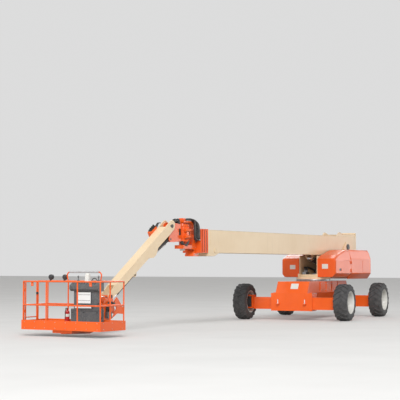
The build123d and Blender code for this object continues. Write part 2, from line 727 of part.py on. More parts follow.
def rail_loop(z):
    """One rail round the platform from the gate's rear post to its front post."""
    x0, x1 = PLATFORM_X[0] + TUBE_R, PLATFORM_X[1] - TUBE_R
    y = PLATFORM_HALF - TUBE_R
    start = (GATE_X[0] - 25, -y, z)
    places = [start, (x0, -y, z), (x0, y, z), (x1, y, z), (x1, -y, z), (GATE_X[1] + 25, -y, z)]
    route = FilletPolyline(*places, radius=48)
    return sweep(Plane(origin=start, z_dir=(-1, 0, 0)) * Circle(TUBE_R), path=route)


def rails():
    """Toe boards, posts, rails and the raised guard over the console, with the gate's gap on the right."""
    x0, x1 = PLATFORM_X[0] + TUBE_R, PLATFORM_X[1] - TUBE_R
    y = PLATFORM_HALF - TUBE_R
    cage = block(PLATFORM_X, (-PLATFORM_HALF, PLATFORM_HALF), (160, TOE_TOP))
    cage -= block((x0 - 1, x1 + 1), (-PLATFORM_HALF + 18, PLATFORM_HALF - 18), (159, TOE_TOP + 1))
    cage -= block(GATE_X, (-PLATFORM_HALF - 1, -PLATFORM_HALF + 19), (FLOOR_Z + 35, TOE_TOP + 1))
    cage += [rail_loop(MID_RAIL), rail_loop(TOP_RAIL - TUBE_R)]
    corner = 14
    posts = [(x, side * (y - corner)) for x in (x0 + corner, x1 - corner) for side in (-1, 1)]
    posts += [(x1, place) for place in FRONT_POSTS] + [(x0, place) for place in GUARD_Y]
    posts += [((x0 + x1) / 2 + 100, y)]
    posts += [(GATE_X[0] - 25, -y), (GATE_X[1] + 25, -y)]
    for at in posts:
        cage += post(at, POST_R, (TOE_TOP - 150, TOP_RAIL - TUBE_R))
    for z in HINGE_LUGS:
        cage += block((GATE_HINGE, GATE_X[1] + 25), (-y - 6, -y + 6), (z, z + 30))
        cage += post((GATE_HINGE, -y), 9, (z, z + 30)) + post((GATE_HINGE, -y), 5, (z + 10, z + 75))
    low = TOP_RAIL - TUBE_R
    right, left = GUARD_Y
    places = [(x0, right, low), (x0, right - 60, GUARD_Z), (x0, left + 50, GUARD_Z), (x0, left, low)]
    start = Plane(origin=places[0], z_dir=(0, -60, GUARD_Z - low))
    cage += sweep(start * Circle(GUARD_R), path=FilletPolyline(*places, radius=90))
    shelf_y = (BOTTLE_AT[1] - 50, BOTTLE_AT[1] + 50)
    cage += block((x0 - 6, BOTTLE_AT[0] + 50), shelf_y, (BOTTLE_Z[0] - 12, BOTTLE_Z[0] - RUN))
    for side in (-1, 1):
        y = side * ANCHOR_Y
        eye = block((x1 - 12, x1), (y - 35, y + 35), (TOP_RAIL - 130, TOP_RAIL - 25))
        cage += eye - Pos(x1 - 6, y, ANCHOR_Z) * Rot(0, 90, 0) * Cylinder(12.5, 20)
    return cage


def gate():
    """The gate in the right end rail, hinged at its front edge."""
    y = -PLATFORM_HALF + TUBE_R
    x0, x1 = GATE_X[0] + 22, GATE_X[1] - 38
    leaf = block((x0, x1), (y - 8, y + 8), (FLOOR_Z + 60, TOE_TOP - 6))
    for z in (TOE_TOP + 60, MID_RAIL, TOP_RAIL - TUBE_R):
        leaf += bar((x0, y, z), (x1, y, z), 14)
    for x in (x0, x1):
        leaf += post((x, y), 16, (FLOOR_Z + 60, TOP_RAIL - TUBE_R + 14))
    for z in HINGE_LUGS:
        leaf += post((GATE_HINGE, y), 10, (z + 30.5, z + 70))
        leaf += block((x1, GATE_HINGE), (y - 5, y + 5), (z + 30.5, z + 70))
        leaf -= post((GATE_HINGE, y), 5.06, (z + 20, z + 80))
    return leaf


def console():
    """The control stand: top housing with a sloping face, narrower middle and the box below."""
    back = PLATFORM_X[0] + 2 * TUBE_R
    low, high = CONSOLE_Y
    stem = block((back, back + 170), (low + 70, high - 90), (600, 1140))
    box = block((back, back + 200), CONSOLE_Y, (FLOOR_Z + 30, 660))
    head = [
        (back, 1090), (back, 1330), (back + 110, 1330), (back + 262, 1230), (back + 262, 1140),
        (back + 215, 1090),
    ]
    stand_ = stem + box + side_plate(head, CONSOLE_Y)
    # the light panel on the middle and the shelf under it
    stand_ += block((back + 165, back + 182), (-110, 340), (780, 1075))
    stand_ += block((back + 165, back + 230), (-140, 390), (664, 740))
    return stand_


def work_lamps():
    """Two round lamps clamped to the rear rail, facing back along the boom."""
    x, z = PLATFORM_X[0] + TUBE_R, TOP_RAIL - TUBE_R
    lamps = []
    for y in LAMP_Y:
        clamp = block((x - 26, x + 26), (y - 18, y + 18), (z - 8, z + 62))
        clamp -= Pos(x, y, z) * Rot(90, 0, 0) * Cylinder(TUBE_R + RUN, 40)
        bowl = Pos(x, y, z + 40 + LAMP_R) * Rot(0, -90, 0) * Cone(LAMP_R * 0.6, LAMP_R, 80)
        glass = Pos(x - 44, y, z + 40 + LAMP_R) * Rot(0, -90, 0) * Cylinder(LAMP_R + 5, 10)
        lamps.append(clamp + bowl + glass)
    return lamps[0] + lamps[1:]


def extinguisher():
    """Bottle with a domed shoulder, its valve and lever, standing in a holder by the console."""
    low, high = BOTTLE_Z
    shoulder = Pos(0, 0, high) * Sphere(BOTTLE_R) & Pos(0, 0, high + 22) * Cylinder(BOTTLE_R, 44)
    bottle = Pos(0, 0, (low + high) / 2) * Cylinder(BOTTLE_R, high - low) + shoulder
    bottle += Pos(0, 0, high + 55) * Cylinder(17, 50) + Pos(14, 0, high + 80) * Box(80, 20, 14)
    return Pos(*BOTTLE_AT, 0) * bottle


def jib_valves():
    """Valve box on the right side of the jib's upper end, with its dark cover plate."""
    back, front, low, high = JIB_BOX
    outline = [along_jib(back, low), along_jib(back, high), along_jib(front, high), along_jib(front, low)]
    side = (-JIB_HALF - 112, -JIB_HALF - RUN)
    return side_plate(outline, side, 18)


def make_platform():
    stand("platform_mount", platform_mount())
    stand("platform_bracket", platform_bracket())
    stand("platform_floor", floor_pan())
    stand("platform_rails", rails())
    stand("platform_gate", gate())
    stand("console", console())
    stand("work_lamps", work_lamps())
    stand("extinguisher", extinguisher())


make_chassis()
make_turntable()
make_boom()
make_jib()
make_platform()
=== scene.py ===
import bpy
import bmesh
import math
from mathutils import Matrix, Vector


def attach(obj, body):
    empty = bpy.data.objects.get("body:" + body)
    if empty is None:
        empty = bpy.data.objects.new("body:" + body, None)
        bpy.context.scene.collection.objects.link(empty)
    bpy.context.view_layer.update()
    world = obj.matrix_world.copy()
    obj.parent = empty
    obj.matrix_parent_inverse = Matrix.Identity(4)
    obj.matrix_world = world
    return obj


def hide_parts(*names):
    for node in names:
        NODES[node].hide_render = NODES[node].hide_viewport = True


# A parked telescopic boom lift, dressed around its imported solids.
# Places are written in millimetres about the middle of the turntable, as the solids were drawn,
# and MACHINE, or CHASSIS for what stands on the chassis, moves them into the shared frame in metres.

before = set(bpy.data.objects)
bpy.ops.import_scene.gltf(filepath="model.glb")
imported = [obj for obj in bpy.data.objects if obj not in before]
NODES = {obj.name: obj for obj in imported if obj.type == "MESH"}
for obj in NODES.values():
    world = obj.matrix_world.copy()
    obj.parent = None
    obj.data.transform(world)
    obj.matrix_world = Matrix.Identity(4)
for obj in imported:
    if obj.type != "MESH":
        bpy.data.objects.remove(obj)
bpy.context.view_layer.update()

# The frame's middle lies MID_X ahead of the turntable's, and the chassis is turned under it.
MID_X = 5251.9
TURN = math.radians(8.17)
WHEELBASE, TRACK, KINGPIN_IN = 3810, 3360, 180
TYRE_R, TYRE_W, RIM_R = 577.5, 445, 355
DECK_TOP, HOOD_HALF, BOOM_HALF = 1384, 988, 300
PLATFORM_X, PLATFORM_HALF = (12220, 13215), 1220

# Pins, feet and eyes are (x, z) places in the middle plane.
SLEW_X = 7900
JIB_PIVOT, JIB_END = (8600, 2800), (11390, 939)
ROTATE_X, DRUM_TOP = 11580, 932
BOOM_PIVOT = (-1963, 2370)
LIFT_FOOT, LIFT_EYE = (-1194, 1690), (200, 1975)
JIB_FOOT, JIB_EYE = (8615, 2440), (9434, 2014)
BOTTLE = (PLATFORM_X[0] + 107, -500)
CONSOLE_BACK, CONSOLE_TOP = PLATFORM_X[0] + 38, 1330
RAIL_X = PLATFORM_X[0] + 19
JIB_LENGTH = math.dist(JIB_PIVOT, JIB_END)
UP, FORE, AFT = (0, 0, 1), (1, 0, 0), (-1, 0, 0)
# the angle, in degrees, from which an edge counts as sharp
SHARP = 38

CORNERS = (
    ("front_left", 1, 1),
    ("front_right", 1, -1),
    ("rear_left", -1, 1),
    ("rear_right", -1, -1),
)

MACHINE = Matrix.Translation((-MID_X / 1000, 0, 0)) @ Matrix.Scale(0.001, 4)
CHASSIS = MACHINE @ Matrix.Rotation(TURN, 4, "Z")


# Camera

def make_camera():
    bpy.context.scene.view_settings.view_transform = "Standard"
    cam = bpy.data.objects.new("camera", bpy.data.cameras.new("camera"))
    bpy.context.scene.collection.objects.link(cam)
    # the place, angle and lens that fit the photograph
    yaw, pitch = 3.712, 0.0562
    look = Vector((math.cos(pitch) * math.cos(yaw), math.cos(pitch) * math.sin(yaw), math.sin(pitch)))
    cam.location = (30.498, 18.45, 1.67)
    cam.rotation_mode = "QUATERNION"
    cam.rotation_quaternion = look.to_track_quat("-Z", "Y")
    cam.data.lens = 108
    cam.data.sensor_width = 36
    cam.data.clip_end = 400
    bpy.context.scene.camera = cam


make_camera()


# Materials

class Nodes:
    """A short way to wire shader nodes."""

    def __init__(self, name):
        self.material = bpy.data.materials.new(name)
        self.material.use_nodes = True
        self.tree = self.material.node_tree
        self.shader = self.tree.nodes["Principled BSDF"]
        self.at = self.add("ShaderNodeTexCoord").outputs["Object"]

    def add(self, kind, **inputs):
        node = self.tree.nodes.new(kind)
        for key, value in inputs.items():
            self.put(node, key, value)
        return node

    def put(self, node, key, value):
        """Sets or links an input, named or, as in i2, by its place."""
        socket = node.inputs[int(key[1:])] if key[0] == "i" and key[1:].isdigit() else node.inputs[key]
        if isinstance(value, bpy.types.NodeSocket):
            self.tree.links.new(value, socket)
        else:
            socket.default_value = value

    def noise(self, scale, detail, rough=0.6, stretch=None):
        place = self.at
        if stretch:
            mapping = self.add("ShaderNodeMapping", Vector=place)
            mapping.inputs["Scale"].default_value = stretch
            place = mapping.outputs[0]
        node = self.add("ShaderNodeTexNoise", Vector=place, Scale=scale, Detail=detail, Roughness=rough)
        return node.outputs["Fac"]

    def ramp(self, value, low, high, to_low=0.0, to_high=1.0):
        node = self.add("ShaderNodeMapRange", i0=value, i1=low, i2=high, i3=to_low, i4=to_high)
        return node.outputs[0]

    def sum(self, a, b, how="ADD"):
        node = self.add("ShaderNodeMath", i0=a, i1=b)
        node.operation = how
        return node.outputs[0]

    def mix(self, share, a, b):
        node = self.tree.nodes.new("ShaderNodeMix")
        node.data_type = "RGBA"
        self.put(node, "i0", share)
        for index, value in ((6, a), (7, b)):
            if isinstance(value, bpy.types.NodeSocket):
                self.tree.links.new(value, node.inputs[index])
            else:
                node.inputs[index].default_value = (*value, 1)
        return node.outputs[2]

    def height(self):
        split = self.add("ShaderNodeSeparateXYZ", i0=self.at)
        return split.outputs[2]

    def facing_up(self):
        geometry = self.add("ShaderNodeNewGeometry")
        split = self.add("ShaderNodeSeparateXYZ", i0=geometry.outputs["Normal"])
        return split.outputs[2]

    def bump(self, value, distance, strength):
        node = self.add("ShaderNodeBump", Height=value, Distance=distance, Strength=strength)
        self.tree.links.new(node.outputs[0], self.shader.inputs["Normal"])

    def colour(self, value):
        self.tree.links.new(value, self.shader.inputs["Base Color"])

    def rough(self, value):
        self.tree.links.new(value, self.shader.inputs["Roughness"])


# the second of these colours is painted shade, laid on faces that look down
DUST, UNDERSIDE_SHADE, BARE = (0.62, 0.57, 0.50), (0.20, 0.17, 0.14), (0.16, 0.14, 0.13)
RUST, RUBBER_DUST = (0.22, 0.09, 0.035), (0.27, 0.25, 0.225)


def paint(name, colour, shade, rough, coat, chips, dust=0.15):
    """Sprayed paint: slow shifts of shade, orange peel, dust on top faces, painted shade on faces that look
    down, runs and small chips.
    """
    n = Nodes(name)
    slow = n.noise(1.1, 3)
    cloudy = n.ramp(slow, 0.35, 0.68)
    base = n.mix(cloudy, colour, shade)
    streak = n.ramp(n.noise(1.0, 5, 0.7, stretch=(7, 7, 0.8)), 0.56, 0.78, 0.0, 0.22)
    base = n.mix(streak, base, tuple(c * 0.72 for c in shade))
    fine = n.noise(38, 6, 0.7)
    up = n.ramp(n.facing_up(), 0.35, 1.0, 0.0, dust)
    base = n.mix(n.sum(up, n.ramp(fine, 0.35, 0.7), "MULTIPLY"), base, DUST)
    # faces that look down are darkened towards a near-black brown: painted shade
    down = n.ramp(n.facing_up(), -0.3, -1.0, 0.0, 0.45)
    base = n.mix(down, base, UNDERSIDE_SHADE)
    if chips:
        spots = n.ramp(n.noise(85, 8, 0.75), 0.735, 0.76, 0.0, chips)
        base = n.mix(spots, base, BARE)
    n.colour(base)
    n.rough(n.sum(n.ramp(fine, 0.3, 0.75, rough - 0.05, rough + 0.10), n.ramp(slow, 0.3, 0.7, -0.03, 0.05)))
    n.bump(n.noise(520, 2, 0.5), 0.0006, 0.25)
    n.shader.inputs["Coat Weight"].default_value = coat
    n.shader.inputs["Coat Roughness"].default_value = 0.12
    n.shader.inputs["Specular IOR Level"].default_value = 0.18
    return n.material


def steel(name, colour, shade, rough, metal, rust=0.0):
    """Bare or plated metal with a drawn grain, stains and, where wanted, a little rust."""
    n = Nodes(name)
    slow = n.noise(6, 4)
    base = n.mix(n.ramp(slow, 0.35, 0.7), colour, shade)
    if rust:
        base = n.mix(n.ramp(n.noise(26, 7, 0.7), 0.58, 0.72, 0.0, rust), base, RUST)
    n.colour(base)
    grainy = n.noise(9, 5, 0.6, stretch=(60, 60, 4))
    n.rough(n.ramp(grainy, 0.3, 0.7, rough - 0.06, rough + 0.12))
    n.bump(grainy, 0.0008, 0.2)
    n.shader.inputs["Metallic"].default_value = metal
    return n.material


def rubber(name, colour, shade, dust_height, rough=0.78):
    """Black rubber or moulded plastic with a fine grain and dust."""
    n = Nodes(name)
    base = n.mix(n.ramp(n.noise(9, 5), 0.35, 0.68), colour, shade)
    dusty = n.ramp(n.noise(30, 7, 0.72), 0.42, 0.70, 0.0, 0.5)
    if dust_height:
        near = n.ramp(n.height(), 0.0, dust_height, 1.0, 0.25)
        dusty = n.sum(dusty, near, "MULTIPLY")
    base = n.mix(dusty, base, RUBBER_DUST)
    n.colour(base)
    n.rough(n.ramp(n.noise(14, 4), 0.3, 0.7, rough - 0.07, rough + 0.08))
    n.bump(n.noise(190, 4, 0.6), 0.0015, 0.35)
    return n.material


def tread_plate(name):
    """Pressed aluminium floor with raised bars in two directions."""
    n = Nodes(name)
    bars = []
    for turn in (0.785, -0.785):
        mapping = n.add("ShaderNodeMapping", Vector=n.at)
        mapping.inputs["Rotation"].default_value = (0, 0, turn)
        wave = n.add("ShaderNodeTexWave", Vector=mapping.outputs[0], Scale=9.0)
        bars.append(wave.outputs["Fac"])
    both = n.sum(n.sum(bars[0], bars[1], "MAXIMUM"), 0.82, "GREATER_THAN")
    worn = n.ramp(n.noise(5, 6), 0.4, 0.7)
    n.colour(n.mix(worn, (0.44, 0.45, 0.46), (0.30, 0.29, 0.28)))
    n.rough(n.ramp(worn, 0.0, 1.0, 0.36, 0.58))
    n.shader.inputs["Metallic"].default_value = 0.85
    n.bump(both, 0.004, 0.6)
    return n.material


def clear_lamp(name):
    """The ribbed front of a lamp."""
    n = Nodes(name)
    n.colour(n.mix(n.ramp(n.noise(40, 3), 0.3, 0.7), (0.80, 0.82, 0.84), (0.66, 0.69, 0.72)))
    n.rough(n.ramp(n.noise(80, 3), 0.3, 0.7, 0.08, 0.18))
    n.bump(n.noise(60, 1), 0.002, 0.4)
    return n.material


M = {
    "orange_paint": paint("orange_paint", (0.88, 0.130, 0.016), (0.82, 0.110, 0.013), 0.34, 0.5, 0.5),
    "cream_paint": paint("cream_paint", (0.86, 0.68, 0.45), (0.82, 0.63, 0.40), 0.46, 0.3, 0.4),
    "white_paint": paint("white_paint", (0.78, 0.77, 0.73), (0.70, 0.69, 0.65), 0.38, 0.3, 0.4),
    "dark_steel": paint("dark_steel", (0.045, 0.046, 0.05), (0.065, 0.062, 0.06), 0.42, 0.2, 0.5),
    "grey_metal": steel("grey_metal", (0.42, 0.43, 0.44), (0.33, 0.33, 0.33), 0.38, 1.0, rust=0.25),
    "zinc": steel("zinc", (0.55, 0.55, 0.53), (0.42, 0.41, 0.38), 0.34, 1.0, rust=0.2),
    "rod_chrome": steel("rod_chrome", (0.72, 0.73, 0.75), (0.66, 0.66, 0.67), 0.13, 1.0),
    "floor_metal": tread_plate("floor_metal"),
    "tyre_rubber": rubber("tyre_rubber", (0.040, 0.041, 0.044), (0.075, 0.075, 0.078), 0.9),
    "hose_rubber": rubber("hose_rubber", (0.020, 0.020, 0.022), (0.035, 0.035, 0.036), 0, 0.50),
    "grey_plastic": rubber("grey_plastic", (0.075, 0.082, 0.090), (0.11, 0.115, 0.12), 0, 0.48),
    "pad_grey": rubber("pad_grey", (0.46, 0.46, 0.47), (0.56, 0.56, 0.56), 0, 0.72),
    "lamp": clear_lamp("lamp"),
    "red_paint": paint("red_paint", (0.55, 0.018, 0.014), (0.45, 0.014, 0.012), 0.28, 0.6, 0.2),
    "panel_white": paint("panel_white", (0.80, 0.81, 0.80), (0.72, 0.73, 0.72), 0.45, 0.0, 0.0, 0.0),
    # near-black paint: the real colour of the jib's valve coils, and painted shade on thin sheets at grooves,
    # slots, gaps and the boom's tail
    "black_and_painted_shade": paint("black_and_painted_shade", (0.028, 0.026, 0.024), (0.045, 0.040, 0.035), 0.62, 0.0, 0.0),
}


def soften(obj, width, angle):
    """Rounds the edges that are sharper than an angle; the width is in millimetres."""
    soft = obj.modifiers.new("edges", "BEVEL")
    soft.width = width / 1000
    soft.segments = 2
    soft.limit_method = "ANGLE"
    soft.angle_limit = math.radians(angle)
    soft.harden_normals = True


def dress(node, material, edge):
    """Gives a solid its finish, and soft edges where they are wanted."""
    obj = NODES[node]
    obj.data.materials.clear()
    obj.data.materials.append(M[material])
    if edge:
        weld = obj.modifiers.new("weld", "WELD")
        weld.merge_threshold = 0.00005
        soften(obj, edge, SHARP)


# Shapes

class Shape:
    """Gathers faces in millimetres, then becomes one piece."""

    def __init__(self, matrix=MACHINE):
        self.bm = bmesh.new()
        self.matrix = matrix

    def box(self, x, y, z):
        made = bmesh.ops.create_cube(self.bm, size=1)["verts"]
        size = Matrix.Diagonal((x[1] - x[0], y[1] - y[0], z[1] - z[0], 1))
        middle = Matrix.Translation(((x[0] + x[1]) / 2, (y[0] + y[1]) / 2, (z[0] + z[1]) / 2))
        bmesh.ops.transform(self.bm, matrix=middle @ size, verts=made)
        return self

    def side(self, outline, y):
        """A plate with an outline of (x, z) points, from one y to another."""
        ends = [[self.bm.verts.new((x, depth, z)) for x, z in outline] for depth in y]
        self.bm.faces.new(ends[0][::-1])
        self.bm.faces.new(ends[1])
        count = len(outline)
        for i in range(count):
            j = (i + 1) % count
            self.bm.faces.new((ends[0][i], ends[0][j], ends[1][j], ends[1][i]))
        return self

    def rod(self, a, b, r, r2=None, sides=24):
        """A round bar from a to b, or a cone that ends at r2."""
        a, b = Vector(a), Vector(b)
        far_r = r if r2 is None else r2
        made = bmesh.ops.create_cone(
            self.bm, cap_ends=True, segments=sides, radius1=r, radius2=far_r, depth=(b - a).length
        )["verts"]
        turn = (b - a).to_track_quat("Z", "Y").to_matrix().to_4x4()
        bmesh.ops.transform(self.bm, matrix=Matrix.Translation((a + b) / 2) @ turn, verts=made)
        return self

    def lathe(self, profile, at, along, sides):
        """Turns (distance along, radius) points about an axis."""
        turn = Vector(along).to_track_quat("Z", "Y").to_matrix().to_4x4()
        place = Matrix.Translation(at) @ turn
        steps = [2 * math.pi * i / sides for i in range(sides)]
        rings = []
        for d, r in profile:
            spots = [(r * math.cos(t), r * math.sin(t), d) for t in steps] if r > 0 else [(0, 0, d)]
            rings.append([self.bm.verts.new(place @ Vector(spot)) for spot in spots])
        for one, two in zip(rings, rings[1:]):
            for i in range(sides):
                j = (i + 1) % sides
                a, b = one[i % len(one)], one[j % len(one)]
                c, d = two[j % len(two)], two[i % len(two)]
                corners = [v for k, v in enumerate((a, b, c, d)) if v not in (a, b, c, d)[:k]]
                if len(corners) > 2:
                    self.bm.faces.new(corners)
        bmesh.ops.remove_doubles(self.bm, verts=[v for ring in rings for v in ring], dist=0.01)
        return self

    def bolt(self, at, along, r, high):
        """A hexagon head on its washer."""
        a, n = Vector(at), Vector(along).normalized()
        self.rod(a - n, a + n * 2.5, r * 1.25, sides=18)
        self.rod(a + n * 2, a + n * (2 + high), r, r * 0.96, 6)

    def piece(self, name, material, body, edge, replaces=(), sharp=SHARP):
        bmesh.ops.recalc_face_normals(self.bm, faces=self.bm.faces)
        self.bm.transform(self.matrix)
        mesh = bpy.data.meshes.new(name)
        self.bm.to_mesh(mesh)
        self.bm.free()
        return finish_piece(name, mesh, material, body, edge, replaces, sharp)


def finish_piece(name, mesh, material, body, edge=0, replaces=(), sharp=SHARP):
    mesh.materials.clear()
    mesh.materials.append(M[material])
    mesh.polygons.foreach_set("use_smooth", [True] * len(mesh.polygons))
    mesh.set_sharp_from_angle(angle=math.radians(sharp))
    obj = bpy.data.objects.new(name, mesh)
    bpy.context.scene.collection.objects.link(obj)
    if edge:
        soften(obj, edge, sharp)
    if body:
        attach(obj, body)
    if replaces:
        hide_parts(*replaces)
    return obj


def hoses(name, routes, r, material="hose_rubber", body=None):
    """Hoses or tubes on smooth lines through the places given, as one mesh."""
    curve = bpy.data.curves.new(name, "CURVE")
    curve.dimensions = "3D"
    curve.bevel_depth = r / 1000
    curve.bevel_resolution = 3
    curve.use_fill_caps = True
    curve.resolution_u = 8
    for route in routes:
        line = curve.splines.new("NURBS")
        line.points.add(len(route) - 1)
        for point, at in zip(line.points, route):
            point.co = (*(MACHINE @ Vector(at)), 1)
        line.order_u = 3
        line.use_endpoint_u = True
    holder = bpy.data.objects.new(name + "_line", curve)
    bpy.context.scene.collection.objects.link(holder)
    mesh = bpy.data.meshes.new_from_object(holder.evaluated_get(bpy.context.evaluated_depsgraph_get()))
    bpy.data.objects.remove(holder)
    mesh.name = name
    return finish_piece(name, mesh, material, body, sharp=60)


# Wheels

def rim_shape(shape, at, out):
    """Dished disc rim and hub cover; the outer face looks along out."""
    half = TYRE_W / 2 - 12
    profile = [
        (-half, RIM_R - 14), (-half, RIM_R - 1), (-half + 10, RIM_R - 1), (-half + 26, RIM_R - 20),
        (-60, RIM_R - 30), (60, RIM_R - 30), (half - 26, RIM_R - 20), (half - 10, RIM_R - 1),
        (half, RIM_R - 1), (half + 3, RIM_R - 6), (half, RIM_R - 14), (half - 16, RIM_R - 22),
        (half - 40, RIM_R - 44), (70, RIM_R - 58), (34, RIM_R - 78), (18, RIM_R - 104), (12, 236),
        (10, 205), (12, 170), (20, 152), (42, 136), (84, 128), (100, 116), (106, 96), (108, 40), (108, 0),
    ]
    shape.lathe(profile, at, out, 64)
    back = [
        (-half, RIM_R - 14), (-half + 46, RIM_R - 50), (-10, RIM_R - 60), (-30, 200), (-42, 150), (-42, 0),
    ]
    shape.lathe(back, at, out, 48)


def wheel_frame(out):
    """The way out along a wheel's axle, and two directions square to it."""
    n, up = Vector(out), Vector(UP)
    return n, up, n.cross(up)


def wheel_nuts(shape, at, out):
    n, up, fore = wheel_frame(out)
    centre = Vector(at)
    # how many, circle's radius, depth along the axle, size
    for count, r, depth, size in ((12, 188, 9, 15), (9, 104, 105, 8)):
        for i in range(count):
            t = 2 * math.pi * i / count
            spot = centre + up * r * math.cos(t) + fore * r * math.sin(t) + n * depth
            shape.bolt(spot, n, size, size * 1.1)


def tyre_shape(shape, at, out):
    """Carcass, bead, sidewall rings and slanting tread bars."""
    half, crown = TYRE_W / 2, TYRE_R - 30
    bead = RIM_R + 0.5
    section = [
        (half - 16, bead), (half - 6, 366), (half - 1, 382), (half, 402), (half - 1, 420), (half, 424),
        (half - 2, 430), (half - 4, 462), (half - 9, 490), (half - 20, 510), (half - 40, 528),
        (half - 66, crown - 6), (half - 120, crown - 1), (0, crown),
    ]
    mirrored = [(-d, r) for d, r in section[-2::-1]]
    inside = [(-half + 30, bead), (half - 30, bead), section[0]]
    shape.lathe(section + mirrored + inside, at, out, 96)
    n, up, fore = wheel_frame(out)
    centre = Vector(at)
    # across, top radius, root radius, half width at the top
    stations = (
        (-14, TYRE_R - 1.5, crown - 10, 15), (30, TYRE_R - 0.8, crown - 10, 17),
        (80, TYRE_R - 2, crown - 12, 19), (125, TYRE_R - 5, crown - 20, 21),
        (160, TYRE_R - 11, crown - 30, 23), (186, 556, 505, 25), (206, 534, 492, 26), (219, 508, 480, 26),
        (221.5, 486, 470, 24),
    )
    count, slant, flare = 18, 0.70, 1.35
    # the bars of one side lie half a step from those of the other
    for side, stagger in ((1, 0), (-1, 0.5)):
        for i in range(count):
            start = 2 * math.pi * (i + stagger) / count
            rings = []
            for across, top, root, wide in stations:
                turn = start + across * slant / TYRE_R
                ring = []
                for r, w in ((root, wide * flare), (top, wide), (top, -wide), (root, -wide * flare)):
                    t = turn + w / TYRE_R
                    around = up * math.cos(t) + fore * math.sin(t)
                    ring.append(shape.bm.verts.new(centre + n * across * side + around * r))
                rings.append(ring)
            for one, two in zip(rings, rings[1:]):
                for k in range(3):
                    shape.bm.faces.new((one[k], one[k + 1], two[k + 1], two[k]))
            shape.bm.faces.new(rings[0])
            shape.bm.faces.new(rings[-1][::-1])


def make_wheels():
    for name, fore, side in CORNERS:
        at, out = (fore * WHEELBASE / 2, side * TRACK / 2, TYRE_R), (0, side, 0)
        body = "wheel_" + name
        shape = Shape(CHASSIS)
        tyre_shape(shape, at, out)
        shape.piece("tyre_tread_" + name, "tyre_rubber", body, 0, ["tyre_" + name], 30)
        shape = Shape(CHASSIS)
        rim_shape(shape, at, out)
        shape.piece("wheel_disc_" + name, "white_paint", body, 0, ["rim_" + name], 30)
        shape = Shape(CHASSIS)
        wheel_nuts(shape, at, out)
        shape.piece("wheel_nuts_" + name, "zinc", body, 0.8)


# Finishes of the solids

# material, width of the soft edge, nodes
FINISH = (
    ("orange_paint", 5, "chassis_frame hood_left hood_right rear_body"),
    ("orange_paint", 3, "collar_mid collar_inner fly_nose jib_head platform_mount platform_bracket"),
    ("orange_paint", 3, "beam_front_left beam_front_right beam_rear_left beam_rear_right jib_valves"),
    ("orange_paint", 1.2, "platform_rails platform_gate"),
    ("cream_paint", 4, "turntable_frame boom_base boom_mid boom_inner boom_fly jib_arm"),
    ("dark_steel", 3, "knuckle_front_left knuckle_front_right knuckle_rear_left knuckle_rear_right engine"),
    ("dark_steel", 2, "lift_barrel jib_barrel level_barrel work_lamps"),
    ("rod_chrome", 1, "lift_rod jib_rod level_rod"),
    ("grey_metal", 2, "swing_ring"),
    ("floor_metal", 1, "platform_floor"),
    ("grey_plastic", 6, "console"),
    ("hose_rubber", 0, "nose_hoses"),
    ("red_paint", 1.5, "extinguisher"),
)


def make_finishes():
    for material, edge, names in FINISH:
        for name in names.split():
            dress(name, material, edge)


# The jib's line, circles of bolts, and pins

def along_jib(distance, offset):
    """The (x, z) at a distance down the jib from its upper pivot, offset square to it."""
    ux = (JIB_END[0] - JIB_PIVOT[0]) / JIB_LENGTH
    uz = (JIB_END[1] - JIB_PIVOT[1]) / JIB_LENGTH
    return JIB_PIVOT[0] + ux * distance - uz * offset, JIB_PIVOT[1] + uz * distance + ux * offset


def ring_of(count, r, start=0.0):
    """Places round a circle, as pairs."""
    turns = [start + 2 * math.pi * k / count for k in range(count)]
    return [(r * math.cos(t), r * math.sin(t)) for t in turns]


def pin_cap(shape, at, side, r):
    """A pin's head with its keeper plate and bolt."""
    x, y, z = at
    shape.lathe([(-2, 0), (-2, r), (10, r), (14, r - 4), (14, 0)], at, (0, side, 0), 32)
    shape.box((x + r * 0.5, x + r * 1.7), sorted((y, y + side * 9)), (z - 16, z + 16))
    shape.bolt((x + r * 1.4, y + side * 9, z), (0, side, 0), 9, 7)


# body, piece, place, y of the face, radius
PINS = (
    ("turntable", "lift_foot_caps", LIFT_FOOT, 155, 60),
    ("boom_base", "lift_ear_caps", LIFT_EYE, 124, 34),
    ("jib", "jib_pivot_caps", JIB_PIVOT, 130, 52),
    ("platform_mount", "platform_pivot_caps", JIB_END, 158, 42),
)


def make_pins():
    for body, name, at, face, r in PINS:
        shape = Shape()
        for side in (1, -1):
            pin_cap(shape, (at[0], side * face, at[1]), side, r)
        shape.piece(name, "dark_steel", body, 1)


# Boom

